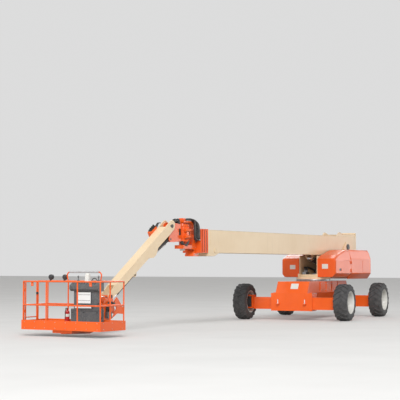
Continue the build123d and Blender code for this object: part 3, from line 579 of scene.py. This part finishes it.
def make_boom():
    make_bearing_caps()
    bolts = Shape()
    for side in (1, -1):
        for x in (6890, 6960):
            for z in (2330, 2385, 2440, 2540, 2595, 2650):
                bolts.bolt((x, side * BOOM_HALF, z), (0, side, 0), 11, 8)
    for y in (-200, -80, 80, 200):
        bolts.bolt((6925, y, 2738), UP, 11, 8)
    bolts.piece("boom_pad_bolts", "cream_paint", "boom_base", 0.6)
    plates = Shape()
    outline = [(6440, 2098), (6700, 1996), (7022, 1996), (7022, 2250), (6700, 2290), (6560, 2282)]
    boss = [(-3, 0), (-3, 78), (8, 78), (14, 70), (14, 46), (9, 40), (9, 0)]
    for side in (1, -1):
        plates.side(outline, sorted((side * 294, side * 303)))
        plates.lathe(boss, (6640, side * 303, 2150), (0, side, 0), 36)
    plates.piece("boom_nose_plates", "cream_paint", "boom_base", 3)
    seams = Shape()
    for side in (1, -1):
        for z in (2094, 2732):
            seams.rod((-2590, side * BOOM_HALF, z), (7026, side * BOOM_HALF, z), 4, sides=8)
    seams.piece("boom_weld_seams", "cream_paint", "boom_base", 0)
    crest = [(-2600, 2822), (-2300, 2812), (-1660, 2800), (-1580, 2818), (-1440, 2868), (-1340, 2860)]
    outline = [(x, z + 7) for x, z in crest] + [(x, z - 4) for x, z in crest[::-1]]
    lip = Shape()
    for side in (1, -1):
        lip.side(outline, sorted((side * 262, side * 298)))
    lip.piece("tail_bracket_lip", "cream_paint", "boom_base", 1.5)
    # a near-black plate over the boom's tail end: painted shade of the boom's hollow inside
    plate = Shape().box((-2640, -2622), (-286, 286), (2110, 2716))
    plate.piece("tail_shade_plate", "black_and_painted_shade", "boom_base", 2)


def make_bearing_caps():
    x, z = BOOM_PIVOT
    profile = [
        (-2, 0), (-2, 112), (10, 112), (16, 104), (16, 84), (24, 76), (24, 30), (19, 24), (19, 0),
    ]
    for side, name in ((1, "left"), (-1, "right")):
        cap = Shape()
        cap.lathe(profile, (x, side * 334, z), (0, side, 0), 40)
        for a, b in ring_of(8, 94, 0.3):
            cap.bolt((x + a, side * 349, z + b), (0, side, 0), 9, 7)
        cap.piece("bearing_cap_" + name, "dark_steel", "turntable", 1.5)


# body's own name, middle of the collar, y of the face where the painted shadow of its groove lies
COLLARS = (("mid", 7095, 290), ("inner", 7217, 290), ("fly", 7352, 305))


def make_collars():
    for name, x, face in COLLARS:
        shape, grooves = Shape(), Shape()
        # each groove is a thin near-black sheet on the face: a painted shadow
        for side in (1, -1):
            grooves.box((x - 9, x + 9), sorted((side * (face - 1), side * (face + 2))), (2100, 2740))
        for y in (-210, -70, 70, 210):
            shape.bolt((x, y, 2755), UP, 10, 8)
        shape.piece("collar_bolts_" + name, "zinc", "boom_" + name, 0.6)
        grooves.piece("collar_groove_shadows_" + name, "black_and_painted_shade", "boom_" + name, 1)


# Nose and slewing motor

# (x, z) of the nose's hose ports and of the block on the slewing head where those hoses end
NOSE_PORT, HOSE_BLOCK = (7422, 2440), (7862, 3012)
NOSE_HOSES = 4
# low and high z of the slewing motor's two flanges
FLANGES = ((2386, 2430), (2816, 2859))


def nose_hose_y(i):
    """A nose hose's y at its port, and at the block."""
    return 172 + 36 * i, 36 * (i - 1.5)


def make_nose():
    make_nose_hoses()
    make_slew_hoses()
    make_slew_motor()
    bolts = Shape()
    for side in (1, -1):
        for x, z in ((7450, 2240), (7550, 2240), (7700, 2240), (7450, 2380), (7450, 2520)):
            bolts.bolt((x, side * 150, z), (0, side, 0), 12, 9)
        for x in (7360, 7440):
            bolts.bolt((x, side * 140, 2030), (0, side, 0), 16, 10)
    bolts.piece("nose_bolts", "zinc", "boom_fly", 0.6)


def make_nose_hoses():
    """The four hoses of the nose with their fittings, and the thick bundle beside them."""
    port_x, port_z = NOSE_PORT
    block_x, block_z = HOSE_BLOCK
    routes = []
    for i in range(NOSE_HOSES):
        x, (y, end) = 7550 + 42 * i, nose_hose_y(i)
        routes.append([
            (port_x, y, port_z), (7500, y, 2436), (x + 14, y + 8, 2470), (x + 18, y + 10, 2700),
            (x + 4, y + 4, 2960), (x, y - 50, block_z), (x + 10, end + 30, 3016), (x + 70, end, 3014),
            (7800, end, block_z), (block_x, end, block_z),
        ])
    loop = hoses("nose_hose_loop", routes, 16, body="boom_fly")
    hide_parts("nose_hoses")
    bundle = []
    for k in range(12):
        row, layer, sway = k % 4, k // 4, 14 * math.sin(2.3 * k)
        x, y = 7452 + 30 * layer, 190 + 34 * row
        bundle.append([
            (7419, y - 20, 2400 + 26 * row + 8 * layer), (x + 4, y - 14, 2410 + 26 * row), (x + 16, y, 2500),
            (x + 10 + sway, y + 6, 2720), (x + 30, y - 20, 2890 + 10 * layer),
            (x + 90, y - 70, 2962 + 18 * layer + sway), (7660, 150 - 26 * row, 2996 + 18 * layer),
            (7770, 90 - 36 * row, 2988 + 20 * layer), (block_x, 60 - 36 * row, 2990 + 12 * layer),
        ])
    hoses("nose_hose_bundle", bundle, 15, body="boom_fly")
    ends = Shape()
    for i in range(NOSE_HOSES):
        y, end = nose_hose_y(i)
        ends.rod((port_x - 1, y, port_z), (port_x + 40, y, port_z), 19, sides=6)
        ends.rod((port_x + 38, y, port_z), (port_x + 64, y, port_z), 17.5, 16.5, 20)
        ends.rod((block_x, end, block_z), (block_x - 30, end, block_z), 17.5, sides=6)
        ends.rod((block_x - 26, end, block_z), (block_x - 54, end, block_z), 17, 16.4, 20)
    ends.piece("nose_hose_fittings", "zinc", "boom_fly", 0.6)


def make_slew_hoses():
    """The hoses that leave the slewing head towards the jib, and those under its motor."""
    head = []
    for k in range(15):
        y, layer, sway = -56 + 28 * (k % 5), k // 5, 16 * math.sin(1.9 * k)
        x = 8122 + 34 * layer
        head.append([
            (x, y, 2780), (x, y, 2900), (8130 + 38 * layer, y, 2990 - 26 * layer),
            (8220, y + sway, 3014 - 28 * layer), (8310, y, 2976 - 22 * layer + sway), (8380, y, 2900),
            (8400 + 24 * layer, y, 2790),
        ])
    hoses("slew_head_hoses", head, 14, body="jib_head")
    low = []
    for k in range(5):
        y = 30 + 24 * k
        low.append([
            (8080, y, 2402), (8070, y + 6, 2340), (7990 - 10 * k, 108 + 14 * k, 2290 - 8 * k),
            (7930 - 12 * k, 176 + 6 * k, 2330), (7900 - 14 * k, 190, 2420),
        ])
    hoses("slew_motor_hoses", low, 12, body="jib_head")


def make_slew_motor():
    at = (SLEW_X, 0, 0)
    rings = Shape()
    for low, high in FLANGES:
        rings.lathe([
            (low, 176), (low, 194), (low + 6, 198), (high - 6, 198), (high, 194), (high, 176), (low, 176),
        ], at, UP, 64)
    (_, lower_top), (upper_low, upper_top) = FLANGES
    for a, b in ring_of(20, 186):
        rings.rod((SLEW_X + a, b, lower_top - 2), (SLEW_X + a, b, upper_low + 2), 9, sides=6)
    for a, b in ring_of(20, 168):
        rings.bolt((SLEW_X + a, b, upper_top), UP, 9, 8)
    rings.piece("slew_motor_rings", "orange_paint", "jib_head", 1.5)
    worm = Shape()
    profile = [(-150, 0), (-150, 46), (-140, 52), (140, 52), (150, 46), (150, 0)]
    for z in (2520, 2700):
        worm.lathe(profile, (SLEW_X, 190, z), FORE, 32)
    worm.box((SLEW_X - 100, SLEW_X + 100), (150, 216), (2480, 2740))
    worm.piece("slew_worm_housing", "orange_paint", "jib_head", 5)
    # thin near-black sheets where the motor's slot lies: painted shadow of the slot
    slot = Shape()
    low = 2560
    for side in (1, -1):
        slot.box((8125, 8210), sorted((side * 92, side * 97)), (low, 2740))
    slot.box((7842, 7880), (214, 220), (low, 2668))
    slot.piece("slew_motor_slot_shadow", "black_and_painted_shade", "jib_head", 2)
    hub = Shape()
    hub.lathe([(2958, 0), (2958, 52), (2966, 58), (2974, 52), (2974, 0)], at, UP, 40)
    hub.lathe([(2192, 0), (2192, 74), (2150, 74), (2144, 64), (2144, 0)], at, UP, 40)
    for a, b in ring_of(8, 50):
        hub.bolt((SLEW_X + a, b, 2145), (0, 0, -1), 8, 7)
    hub.piece("slew_hub_caps", "white_paint", "boom_fly", 1.5)


# Jib and its valves

def make_jib():
    cover = Shape()
    cover.side([along_jib(d, o) for d, o in ((335, 208), (335, 238), (570, 238), (610, 208))], (-236, -134))
    for d in (370, 450, 530):
        low, high = along_jib(d, 236), along_jib(d, 278)
        cover.rod((low[0], -185, low[1]), (high[0], -185, high[1]), 22, sides=20)
    cover.piece("jib_valve_coils", "black_and_painted_shade", "jib", 4)
    bolts = Shape()
    for d, o in ((360, 10), (610, 10), (360, 180), (610, 180)):
        x, z = along_jib(d, o)
        bolts.bolt((x, -242, z), (0, -1, 0), 10, 7)
    bolts.piece("jib_valve_bolts", "zinc", "jib", 0.6)
    routes = []
    for k in range(4):
        places = [along_jib(d, o) for d, o in ((340, 120), (250, 150), (160, 190), (90, 180), (60, 140))]
        routes.append([(x, -160 - 20 * k, z) for x, z in places])
    hoses("jib_valve_hoses", routes, 9, body="jib")


# name, body, foot, eye, barrel radius, places of the two ports from the foot, above or below
CYLINDERS = (
    ("lift", "lift_barrel", LIFT_FOOT, LIFT_EYE, 90, (180, 1270), 1),
    ("jib", "jib_barrel", JIB_FOOT, JIB_EYE, 56, (160, 700), -1),
)


def make_cylinder_lines():
    for name, body, foot, eye, r, ports, above in CYLINDERS:
        a, b = Vector((foot[0], 0, foot[1])), Vector((eye[0], 0, eye[1]))
        way = (b - a).normalized()
        out = Vector((-way.z, 0, way.x)) * above
        shape = Shape()
        for d in ports:
            spot = a + way * d + out * (r - 4)
            shape.rod(spot, spot + out * 30, 19, 17, 20)
            shape.rod(spot + out * 22, spot + out * 34, 22, sides=6)
        shape.piece(name + "_ports", "zinc", body, 0.6)
        near, far = ports
        stops = [(near, 28), (near + 60, 34)]
        stops += [(d, 20) for d in range(near + 140, far - 80, 180)]
        stops += [(far - 50, 34), (far, 28)]
        line = [a + way * d + out * (r + off) for d, off in stops]
        hoses(name + "_transfer_pipe", [line], 8, "zinc", body)


# Platform

def make_platform():
    guard = [(RAIL_X, y, 1560) for y in (-490, -240, 0, 220, 420)]
    hoses("guard_sleeve", [guard], 27, "pad_grey", "platform")
    make_console()
    make_bottle()
    make_lamps()
    make_toe_board()
    make_mount()


def make_console():
    """Panel, keys, sticks, document box and wiring; each front is the x of a face of the console."""
    back, top = CONSOLE_BACK, CONSOLE_TOP
    front = back + 182
    panel = Shape().box((front - 2, front + 5), (-96, 326), (792, 1062))
    panel.piece("console_panel", "panel_white", "platform", 3)
    trim = Shape()
    for z in (860, 1000):
        trim.box((front + 3, front + 8), (-80, 310), (z, z + 7))
    for y in (-112, 330):
        trim.box((front - 4, front + 9), (y, y + 10), (784, 1070))
    trim.piece("console_panel_trim", "dark_steel", "platform", 1)
    shelf = Shape().box((back + 226, back + 236), (-128, 378), (676, 728))
    shelf.piece("console_shelf_face", "panel_white", "platform", 2)
    slope = Matrix.Translation((back + 186, 0, 1281)) @ Matrix.Rotation(math.radians(33), 4, "Y")
    keys = Shape(MACHINE @ slope)
    for row, size in ((-44, 9), (0, 11), (40, 9)):
        for k in range(9):
            y = -200 + 84 * k
            keys.rod((row, y, -1), (row, y, 16), size, size * 0.8, 16)
    keys.piece("console_keys", "dark_steel", "platform", 1)
    sticks = Shape()
    boot = [(-1, 0), (-1, 48), (8, 46), (20, 30), (34, 18), (46, 12), (46, 0)]
    knob = [(0, 0), (4, 16), (24, 22), (44, 20), (58, 10), (60, 0)]
    for y in (-160, 470):
        sticks.lathe(boot, (back + 60, y, top), UP, 28)
        sticks.rod((back + 60, y, top + 40), (back + 62, y, top + 94), 9, 11, 18)
        sticks.lathe(knob, (back + 62, y, top + 82), UP, 24)
    sticks.piece("console_sticks", "grey_plastic", "platform", 1)
    holder = Shape().box((back + 20, back + 108), (60, 205), (top - 1, top + 20))
    outline = ((30, 18), (30, 190), (56, 205), (98, 170), (106, 18))
    holder.side([(back + dx, top + dz) for dx, dz in outline], (75, 192))
    holder.piece("console_document_box", "white_paint", "platform", 6)
    wires = [
        [(back + 60, 260, top), (back + 58, 268, top + 50), (back + 52, 330, top + 82),
         (back + 56, 400, top + 62), (back + 60, 440, top + 2)],
        [(back + 100, 498, 800), (back + 100, 540, 796), (back + 106, 622, 740), (back + 108, 640, 560),
         (back + 100, 612, 440), (back + 92, 588, 420)],
    ]
    hoses("console_wiring", wires, 11, body="platform")
    front = back + 200
    latches = Shape()
    for y in (-230, 120, 540):
        latches.box((front - 1, front + 7), (y - 26, y + 26), (560, 580))
    for z in (250, 600):
        latches.box((front - 2, front + 4), (-262, 572), (z, z + 11))
    latches.piece("console_box_latches", "dark_steel", "platform", 1.5)


def make_bottle():
    x, y = BOTTLE
    r = 62
    bottle = Shape()
    profile = [
        (330, 0), (330, r - 6), (336, r), (560, r), (585, r * 0.9), (600, r * 0.7), (608, 30), (612, 20),
        (640, 18), (646, 0),
    ]
    bottle.lathe(profile, (x, y, 0), UP, 40)
    bottle.piece("extinguisher_bottle", "red_paint", "platform", 0, ["extinguisher"], 30)
    band = Shape()
    profile = [(452, r - 1), (452, r + 1.6), (520, r + 1.6), (520, r - 1), (452, r - 1)]
    band.lathe(profile, (x, y, 0), UP, 40)
    band.piece("extinguisher_band", "white_paint", "platform", 0)
    valve = Shape()
    valve.rod((x, y, 610), (x, y, 652), 17, sides=20)
    valve.box((x - 22, x + 64), (y - 12, y + 12), (636, 650))
    valve.box((x - 12, x + 68), (y - 10, y + 10), (658, 668))
    valve.rod((x - 4, y, 645), (x - 4, y, 662), 8, sides=16)
    valve.piece("extinguisher_valve", "dark_steel", "platform", 2)
    line = [(x + 28, y, 644), (x + 66, y, 640), (x + 78, y, 560), (x + 74, y, 440), (x + 66, y, 394)]
    hoses("extinguisher_hose", [line], 8, body="platform")


def make_lamps():
    bowls, rings, glass = Shape(), Shape(), Shape()
    bowl = [(-46, 0), (-45, 22), (-36, 44), (-18, 60), (8, 67), (40, 68), (46, 64), (46, 0)]
    z = 1433
    for y in (-1110, -660):
        bowls.box((RAIL_X - 26, RAIL_X + 26), (y - 18, y + 18), (z - 104, z - 41))
        bowls.lathe(bowl, (RAIL_X, y, z), AFT, 36)
        at = (RAIL_X - 49, y, z)
        rings.lathe([(-2, 56), (-2, 67), (6, 68), (10, 64), (8, 56), (-2, 56)], at, AFT, 36)
        glass.lathe([(-1, 0), (-1, 57), (5, 50), (9, 30), (10, 0)], at, AFT, 36)
    bowls.piece("work_lamp_bowls", "dark_steel", "platform", 1.5, ["work_lamps"])
    rings.piece("lamp_rings", "dark_steel", "platform", 0)
    glass.piece("lamp_glass", "lamp", "platform", 0)


def make_toe_board():
    """The toe board's bolts, and the latch of the gate above it."""
    bolts = Shape()
    for z in (210, 350):
        for k in range(8):
            bolts.bolt((PLATFORM_X[1], -1120 + 320 * k, z), FORE, 8, 5)
        for x in (12360, 12760, 13100):
            bolts.bolt((x, PLATFORM_HALF, z), (0, 1, 0), 8, 5)
        bolts.bolt((12360, -PLATFORM_HALF, z), (0, -1, 0), 8, 5)
    bolts.piece("toe_board_bolts", "zinc", "platform", 0.5)
    y = -PLATFORM_HALF + 19
    latch = Shape().box((12640, 12700), (y + 7, y + 32), (1010, 1060))
    latch.rod((12650, y + 36, 1035), (12700, y + 36, 1035), 9, sides=16)
    latch.piece("gate_latch", "dark_steel", "gate", 2)


def make_mount():
    """Hoses under the floor, the rotator's cap, and the hoses and valve beside the mount."""
    route = ((11700, 86, 290), (11860, 90, 250), (12080, 90, 180), (12300, 88, 125), (12500, 84, 118))
    lines = [[(x, side * y, z) for x, y, z in route] for side in (1, -1)]
    hoses("platform_floor_hoses", lines, 10, body="platform")
    cap = Shape()
    cap.lathe([(-2, 0), (-2, 88), (10, 84), (18, 50), (20, 0)], (ROTATE_X, 0, DRUM_TOP), UP, 36)
    for a, b in ring_of(6, 68):
        cap.bolt((ROTATE_X + a, b, DRUM_TOP + 12), UP, 8, 6)
    cap.piece("rotator_cap", "zinc", "platform", 1)
    loops = []
    for k in range(5):
        y, sway = 172 + 15 * k, 18 * math.sin(1.7 * k)
        loops.append([
            (11250, 158, 800 - 18 * k), (11270, y, 790 - 18 * k), (11390 + sway, y + 16, 730),
            (11480, y + 16, 830 + sway), (11580, y + 12, 760 - 20 * k), (11620 - 12 * k, y, 640),
            (11600 - 24 * k, y - 6, 556),
        ])
    hoses("mount_hoses", loops, 12, body="platform_mount")
    valve = Shape().box((11470, 11640), (157, 244), (400, 560))
    valve.piece("mount_valve_box", "grey_plastic", "platform_mount", 5)


# Turntable

# name, side, y of the blank plate on the hood's front, its low and high z
HOODS = (("left", 1, (513, 731), (1631, 1785)), ("right", -1, (-678, -475), (1614, 1754)))


def make_hoods():
    # (y, z) of the hood's rear edge, up its side and over its roof
    section = [(885, 1362), (997, 1481), (997, 1880), (915, 2225), (880, 2256), (360, 2256)]
    for name, side, plate_y, plate_z in HOODS:
        body = "hood_" + name
        plate = Shape().box((371, 377), plate_y, plate_z)
        plate.piece("hood_plate_" + name, "white_paint", body, 2)
        y = side * HOOD_HALF
        pull = Shape().box((-86, 56), sorted((y - side, y + side * 3)), (1564, 1636))
        pull.box((-60, 30), sorted((y, y + side * 10)), (1590, 1612))
        pull.piece("hood_latch_" + name, "dark_steel", body, 2)
        seal = Shape()
        for (y0, z0), (y1, z1) in zip(section, section[1:]):
            seal.rod((-811, side * (y0 - 8), z0 - 6), (-811, side * (y1 - 8), z1 - 6), 6, sides=8)
        seal.piece("hood_seal_" + name, "hose_rubber", body, 0)
        # thin near-black strips along the hood's lower side and front edges: painted shadow of the gap there
        lip = Shape().box((-800, 350), sorted((side * 862, side * 884)), (1355, 1364))
        lip.box((352, 371), sorted((side * 350, side * 880)), (1352, 1361))
        lip.piece("hood_lower_gap_shadow_" + name, "black_and_painted_shade", body, 1.5)


def make_turntable():
    make_hoods()
    drive = Shape()
    profile = [
        (DECK_TOP, 0), (DECK_TOP, 104), (1400, 110), (1470, 108), (1480, 90), (1560, 88), (1570, 60),
        (1640, 58), (1650, 40), (1650, 0),
    ]
    drive.lathe(profile, (-300, 0, 0), UP, 36)
    drive.piece("slewing_drive", "dark_steel", "turntable", 1.5)
    coil_x, coil_y = [75 + 48 * k for k in range(5)], -185
    valves = Shape().box((40, 300), (-250, -120), (DECK_TOP, 1520))
    for x in coil_x:
        valves.rod((x, coil_y, 1518), (x, coil_y, 1572), 17, sides=18)
    valves.box((-1440, -1400), (262, 307), (1700, 1790))
    valves.box((120, 290), (110, 260), (DECK_TOP, 1470))
    valves.piece("turntable_valves", "grey_metal", "turntable", 3)
    runs = []
    for x in coil_x:
        runs.append([
            (x, coil_y, 1560), (x, coil_y, 1640), (x - 60, -240, 1690), (x - 300, -270, 1680),
            (x - 600, -280, 1620), (x - 900, -282, 1560), (x - 1100, -270, 1386),
        ])
    for k in range(3):
        y = 200 + 20 * k
        runs.append([
            (150 + 30 * k, y, 1468), (120, y + 10, 1560), (-100, 285 - 8 * k, 1620 + 20 * k),
            (-500, 286 - 8 * k, 1600 + 20 * k), (-1000, 284 - 8 * k, 1660), (-1405, 280, 1720 + 24 * k),
        ])
    hoses("turntable_hoses", runs, 12, body="turntable")
    ring = Shape(CHASSIS)
    # the circle's bolts that the frame's sides leave room for
    for a, b in ring_of(36, 580):
        if abs(b) < 515:
            ring.bolt((a, b, 1222), UP, 12, 9)
    ring.piece("ring_bolts", "zinc", "chassis", 0.6)


def make_engine():
    """What the right hood covers: block, heads, cooler, silencer and filters."""
    floor = 1376
    block = Shape().box((-500, 100), (-740, -470), (floor, 1700))
    block.box((-470, 60), (-700, -500), (1698, 1840))
    block.box((-545, -490), (-780, -430), (floor, 1920))
    for k in range(4):
        block.rod((-400 + 130 * k, -600, 1838), (-400 + 130 * k, -600, 1872), 40, sides=20)
    block.box((-430, 30), (-790, -735), (1500, 1560))
    block.piece("engine_block", "dark_steel", "turntable", 6, ["engine"])
    filters = Shape()
    silencer = [(-170, 0), (-170, 74), (-150, 80), (150, 80), (170, 74), (170, 0)]
    filters.lathe(silencer, (-190, -490, 1850), FORE, 36)
    filters.rod((20, -640, 1836), (20, -640, 1945), 34, sides=24)
    filters.lathe([(0, 0), (0, 60), (150, 60), (150, 0)], (100, -560, 1500), FORE, 30)
    filters.piece("engine_filters", "grey_metal", "turntable", 2)
    pipes = [
        [(-360, -490, 1850), (-420, -470, 1840), (-490, -470, 1760), (-500, -500, 1640)],
        [(-200, -780, 1530), (-100, -792, 1450), (60, -780, 1410), (140, -700, 1390)],
    ]
    hoses("engine_pipes", pipes, 18, body="turntable")


# Chassis

def make_chassis():
    # the frame's slope at each end runs back and rises from its foot
    run, rise, foot = 220, 364, 858
    deck_end = WHEELBASE / 2
    end = deck_end + run
    slope = Vector((rise, 0, run)).normalized()
    plate = Shape(CHASSIS)
    spots = []
    for out in (-2, 5):
        for share, y in ((0.36, -60), (0.36, 190), (0.82, 190), (0.82, -60)):
            spots.append(Vector((end - run * share, y, foot + rise * share)) + slope * out)
    made = [plate.bm.verts.new(spot) for spot in spots]
    for quad in ((0, 1, 2, 3), (7, 6, 5, 4), (0, 4, 5, 1), (1, 5, 6, 2), (2, 6, 7, 3), (3, 7, 4, 0)):
        plate.bm.faces.new([made[k] for k in quad])
    plate.piece("front_blank_plate", "white_paint", "chassis", 1.5)
    lugs = Shape(CHASSIS)
    face = [(-1, 20), (-1, 43), (2.5, 43), (2.5, 20), (-1, 20)]
    for fore in (1, -1):
        for y in (-450, 450):
            lugs.box(sorted((fore * (end + 25), fore * (end + 30))), (y - 13, y + 13), (536, 658))
            lugs.lathe(face, (fore * (end + 60), y, 532), UP, 30)
    lugs.piece("lug_faces", "white_paint", "chassis", 1)
    covers, bolts = Shape(CHASSIS), Shape(CHASSIS)
    for side in (1, -1):
        for x in (-600, 0, 600):
            covers.box((x - 240, x + 240), sorted((side * 534, side * 543)), (930, 1170))
            for dx in (-215, 215):
                for z in (955, 1145):
                    bolts.bolt((x + dx, side * 543, z), (0, side, 0), 11, 8)
        for fore in (1, -1):
            for dx in (-170, -60, 60, 170):
                for z in (320, 850):
                    bolts.bolt((fore * deck_end + dx, side * 690, z), (0, side, 0), 12, 8)
    covers.piece("frame_side_covers", "orange_paint", "chassis", 4)
    bolts.piece("frame_bolts", "zinc", "chassis", 0.6)
    for name, fore, side in CORNERS:
        make_corner(name, fore * WHEELBASE / 2, side * (TRACK / 2 - KINGPIN_IN), side)


def make_corner(name, x, y, side):
    """Kingpin caps on the beam, and the drive motor and its bolts on the knuckle."""
    cap = Shape(CHASSIS)
    for z, up in ((793, 1), (362, -1)):
        cap.lathe([(-2, 0), (-2, 62), (10, 62), (16, 54), (16, 0)], (x, y, z), (0, 0, up), 32)
        for a, b in ring_of(6, 44):
            cap.bolt((x + a, y + b, z + up * 15), (0, 0, up), 7, 5)
    cap.piece("kingpin_caps_" + name, "dark_steel", "beam_" + name, 1)
    motor = Shape(CHASSIS)
    profile = [(-52, 0), (-52, 100), (-40, 118), (30, 118), (40, 110), (40, 0)]
    motor.lathe(profile, (x, y + side * 40, TYRE_R), (0, -side, 0), 40)
    motor.piece("drive_motor_" + name, "dark_steel", "knuckle_" + name, 2)
    bolts = Shape(CHASSIS)
    for a, b in ring_of(10, 136):
        bolts.bolt((x + a, y + side * 88, TYRE_R + b), (0, -side, 0), 9, 7)
    bolts.piece("drive_bolts_" + name, "zinc", "knuckle_" + name, 0.6)


# Stage

def make_stage():
    """A plain pale floor, and a pale backdrop that the camera, gloss and glass see."""
    floor = Nodes("floor")
    floor.colour(floor.mix(floor.ramp(floor.noise(0.4, 2), 0.3, 0.7), (0.70, 0.70, 0.69), (0.66, 0.66, 0.65)))
    floor.shader.inputs["Roughness"].default_value = 0.9
    floor.shader.inputs["Specular IOR Level"].default_value = 0.1
    floor.shader.inputs["Emission Color"].default_value = (1, 1, 1, 1)
    # lifts the floor a little, for the camera alone
    glow = 0.13
    seen_only = floor.sum(floor.add("ShaderNodeLightPath").outputs["Is Camera Ray"], glow, "MULTIPLY")
    floor.put(floor.shader, "Emission Strength", seen_only)
    mesh = bpy.data.meshes.new("floor")
    half = 150
    mesh.from_pydata(
        [(-half, -half, 0), (half, -half, 0), (half, half, 0), (-half, half, 0)], [], [(0, 1, 2, 3)])
    mesh.materials.append(floor.material)
    obj = bpy.data.objects.new("floor", mesh)
    bpy.context.scene.collection.objects.link(obj)
    world = bpy.data.worlds.new("studio")
    bpy.context.scene.world = world
    world.use_nodes = True
    tree = world.node_tree
    light = tree.nodes["Background"]
    light.inputs["Color"].default_value = (1, 0.985, 0.97, 1)
    light.inputs["Strength"].default_value = 0.42
    seen = tree.nodes.new("ShaderNodeBackground")
    seen.inputs["Color"].default_value = (0.72, 0.72, 0.72, 1)
    path = tree.nodes.new("ShaderNodeLightPath")
    last = path.outputs["Is Camera Ray"]
    for ray in ("Is Glossy Ray", "Is Transmission Ray"):
        most = tree.nodes.new("ShaderNodeMath")
        most.operation = "MAXIMUM"
        tree.links.new(last, most.inputs[0])
        tree.links.new(path.outputs[ray], most.inputs[1])
        last = most.outputs[0]
    mix = tree.nodes.new("ShaderNodeMixShader")
    tree.links.new(last, mix.inputs[0])
    tree.links.new(light.outputs[0], mix.inputs[1])
    tree.links.new(seen.outputs[0], mix.inputs[2])
    tree.links.new(mix.outputs[0], tree.nodes["World Output"].inputs["Surface"])


def lamp(name, at, to, size, power, diffuse=True, glossy=True):
    """An area lamp that looks from one place to another, in metres and watts."""
    data = bpy.data.lights.new(name, "AREA")
    data.shape = "RECTANGLE"
    data.size, data.size_y = size
    data.energy = power
    obj = bpy.data.objects.new(name, data)
    bpy.context.scene.collection.objects.link(obj)
    obj.location = at
    obj.rotation_mode = "QUATERNION"
    obj.rotation_quaternion = (Vector(to) - Vector(at)).to_track_quat("-Z", "Y")
    obj.visible_diffuse = diffuse
    obj.visible_glossy = glossy


def make_lights():
    """A large soft key and fill, and two that show only in the gloss."""
    lamp("key", (48, 32, 40), (0, 0, 1.5), (26, 22), 31500)
    lamp("fill", (60, -10, 10), (2, 0, 1), (24, 16), 9000, glossy=False)
    lamp("side_reflector", (-26, 16, 6), (-4, 0, 1.5), (22, 14), 2300, diffuse=False)
    lamp("roof_reflector", (-24, -14, 16), (-3, 0, 2), (22, 14), 3600, diffuse=False)


make_finishes()
make_wheels()
make_pins()
make_boom()
make_collars()
make_nose()
make_jib()
make_cylinder_lines()
make_platform()
make_turntable()
make_engine()
make_chassis()
make_stage()
make_lights()
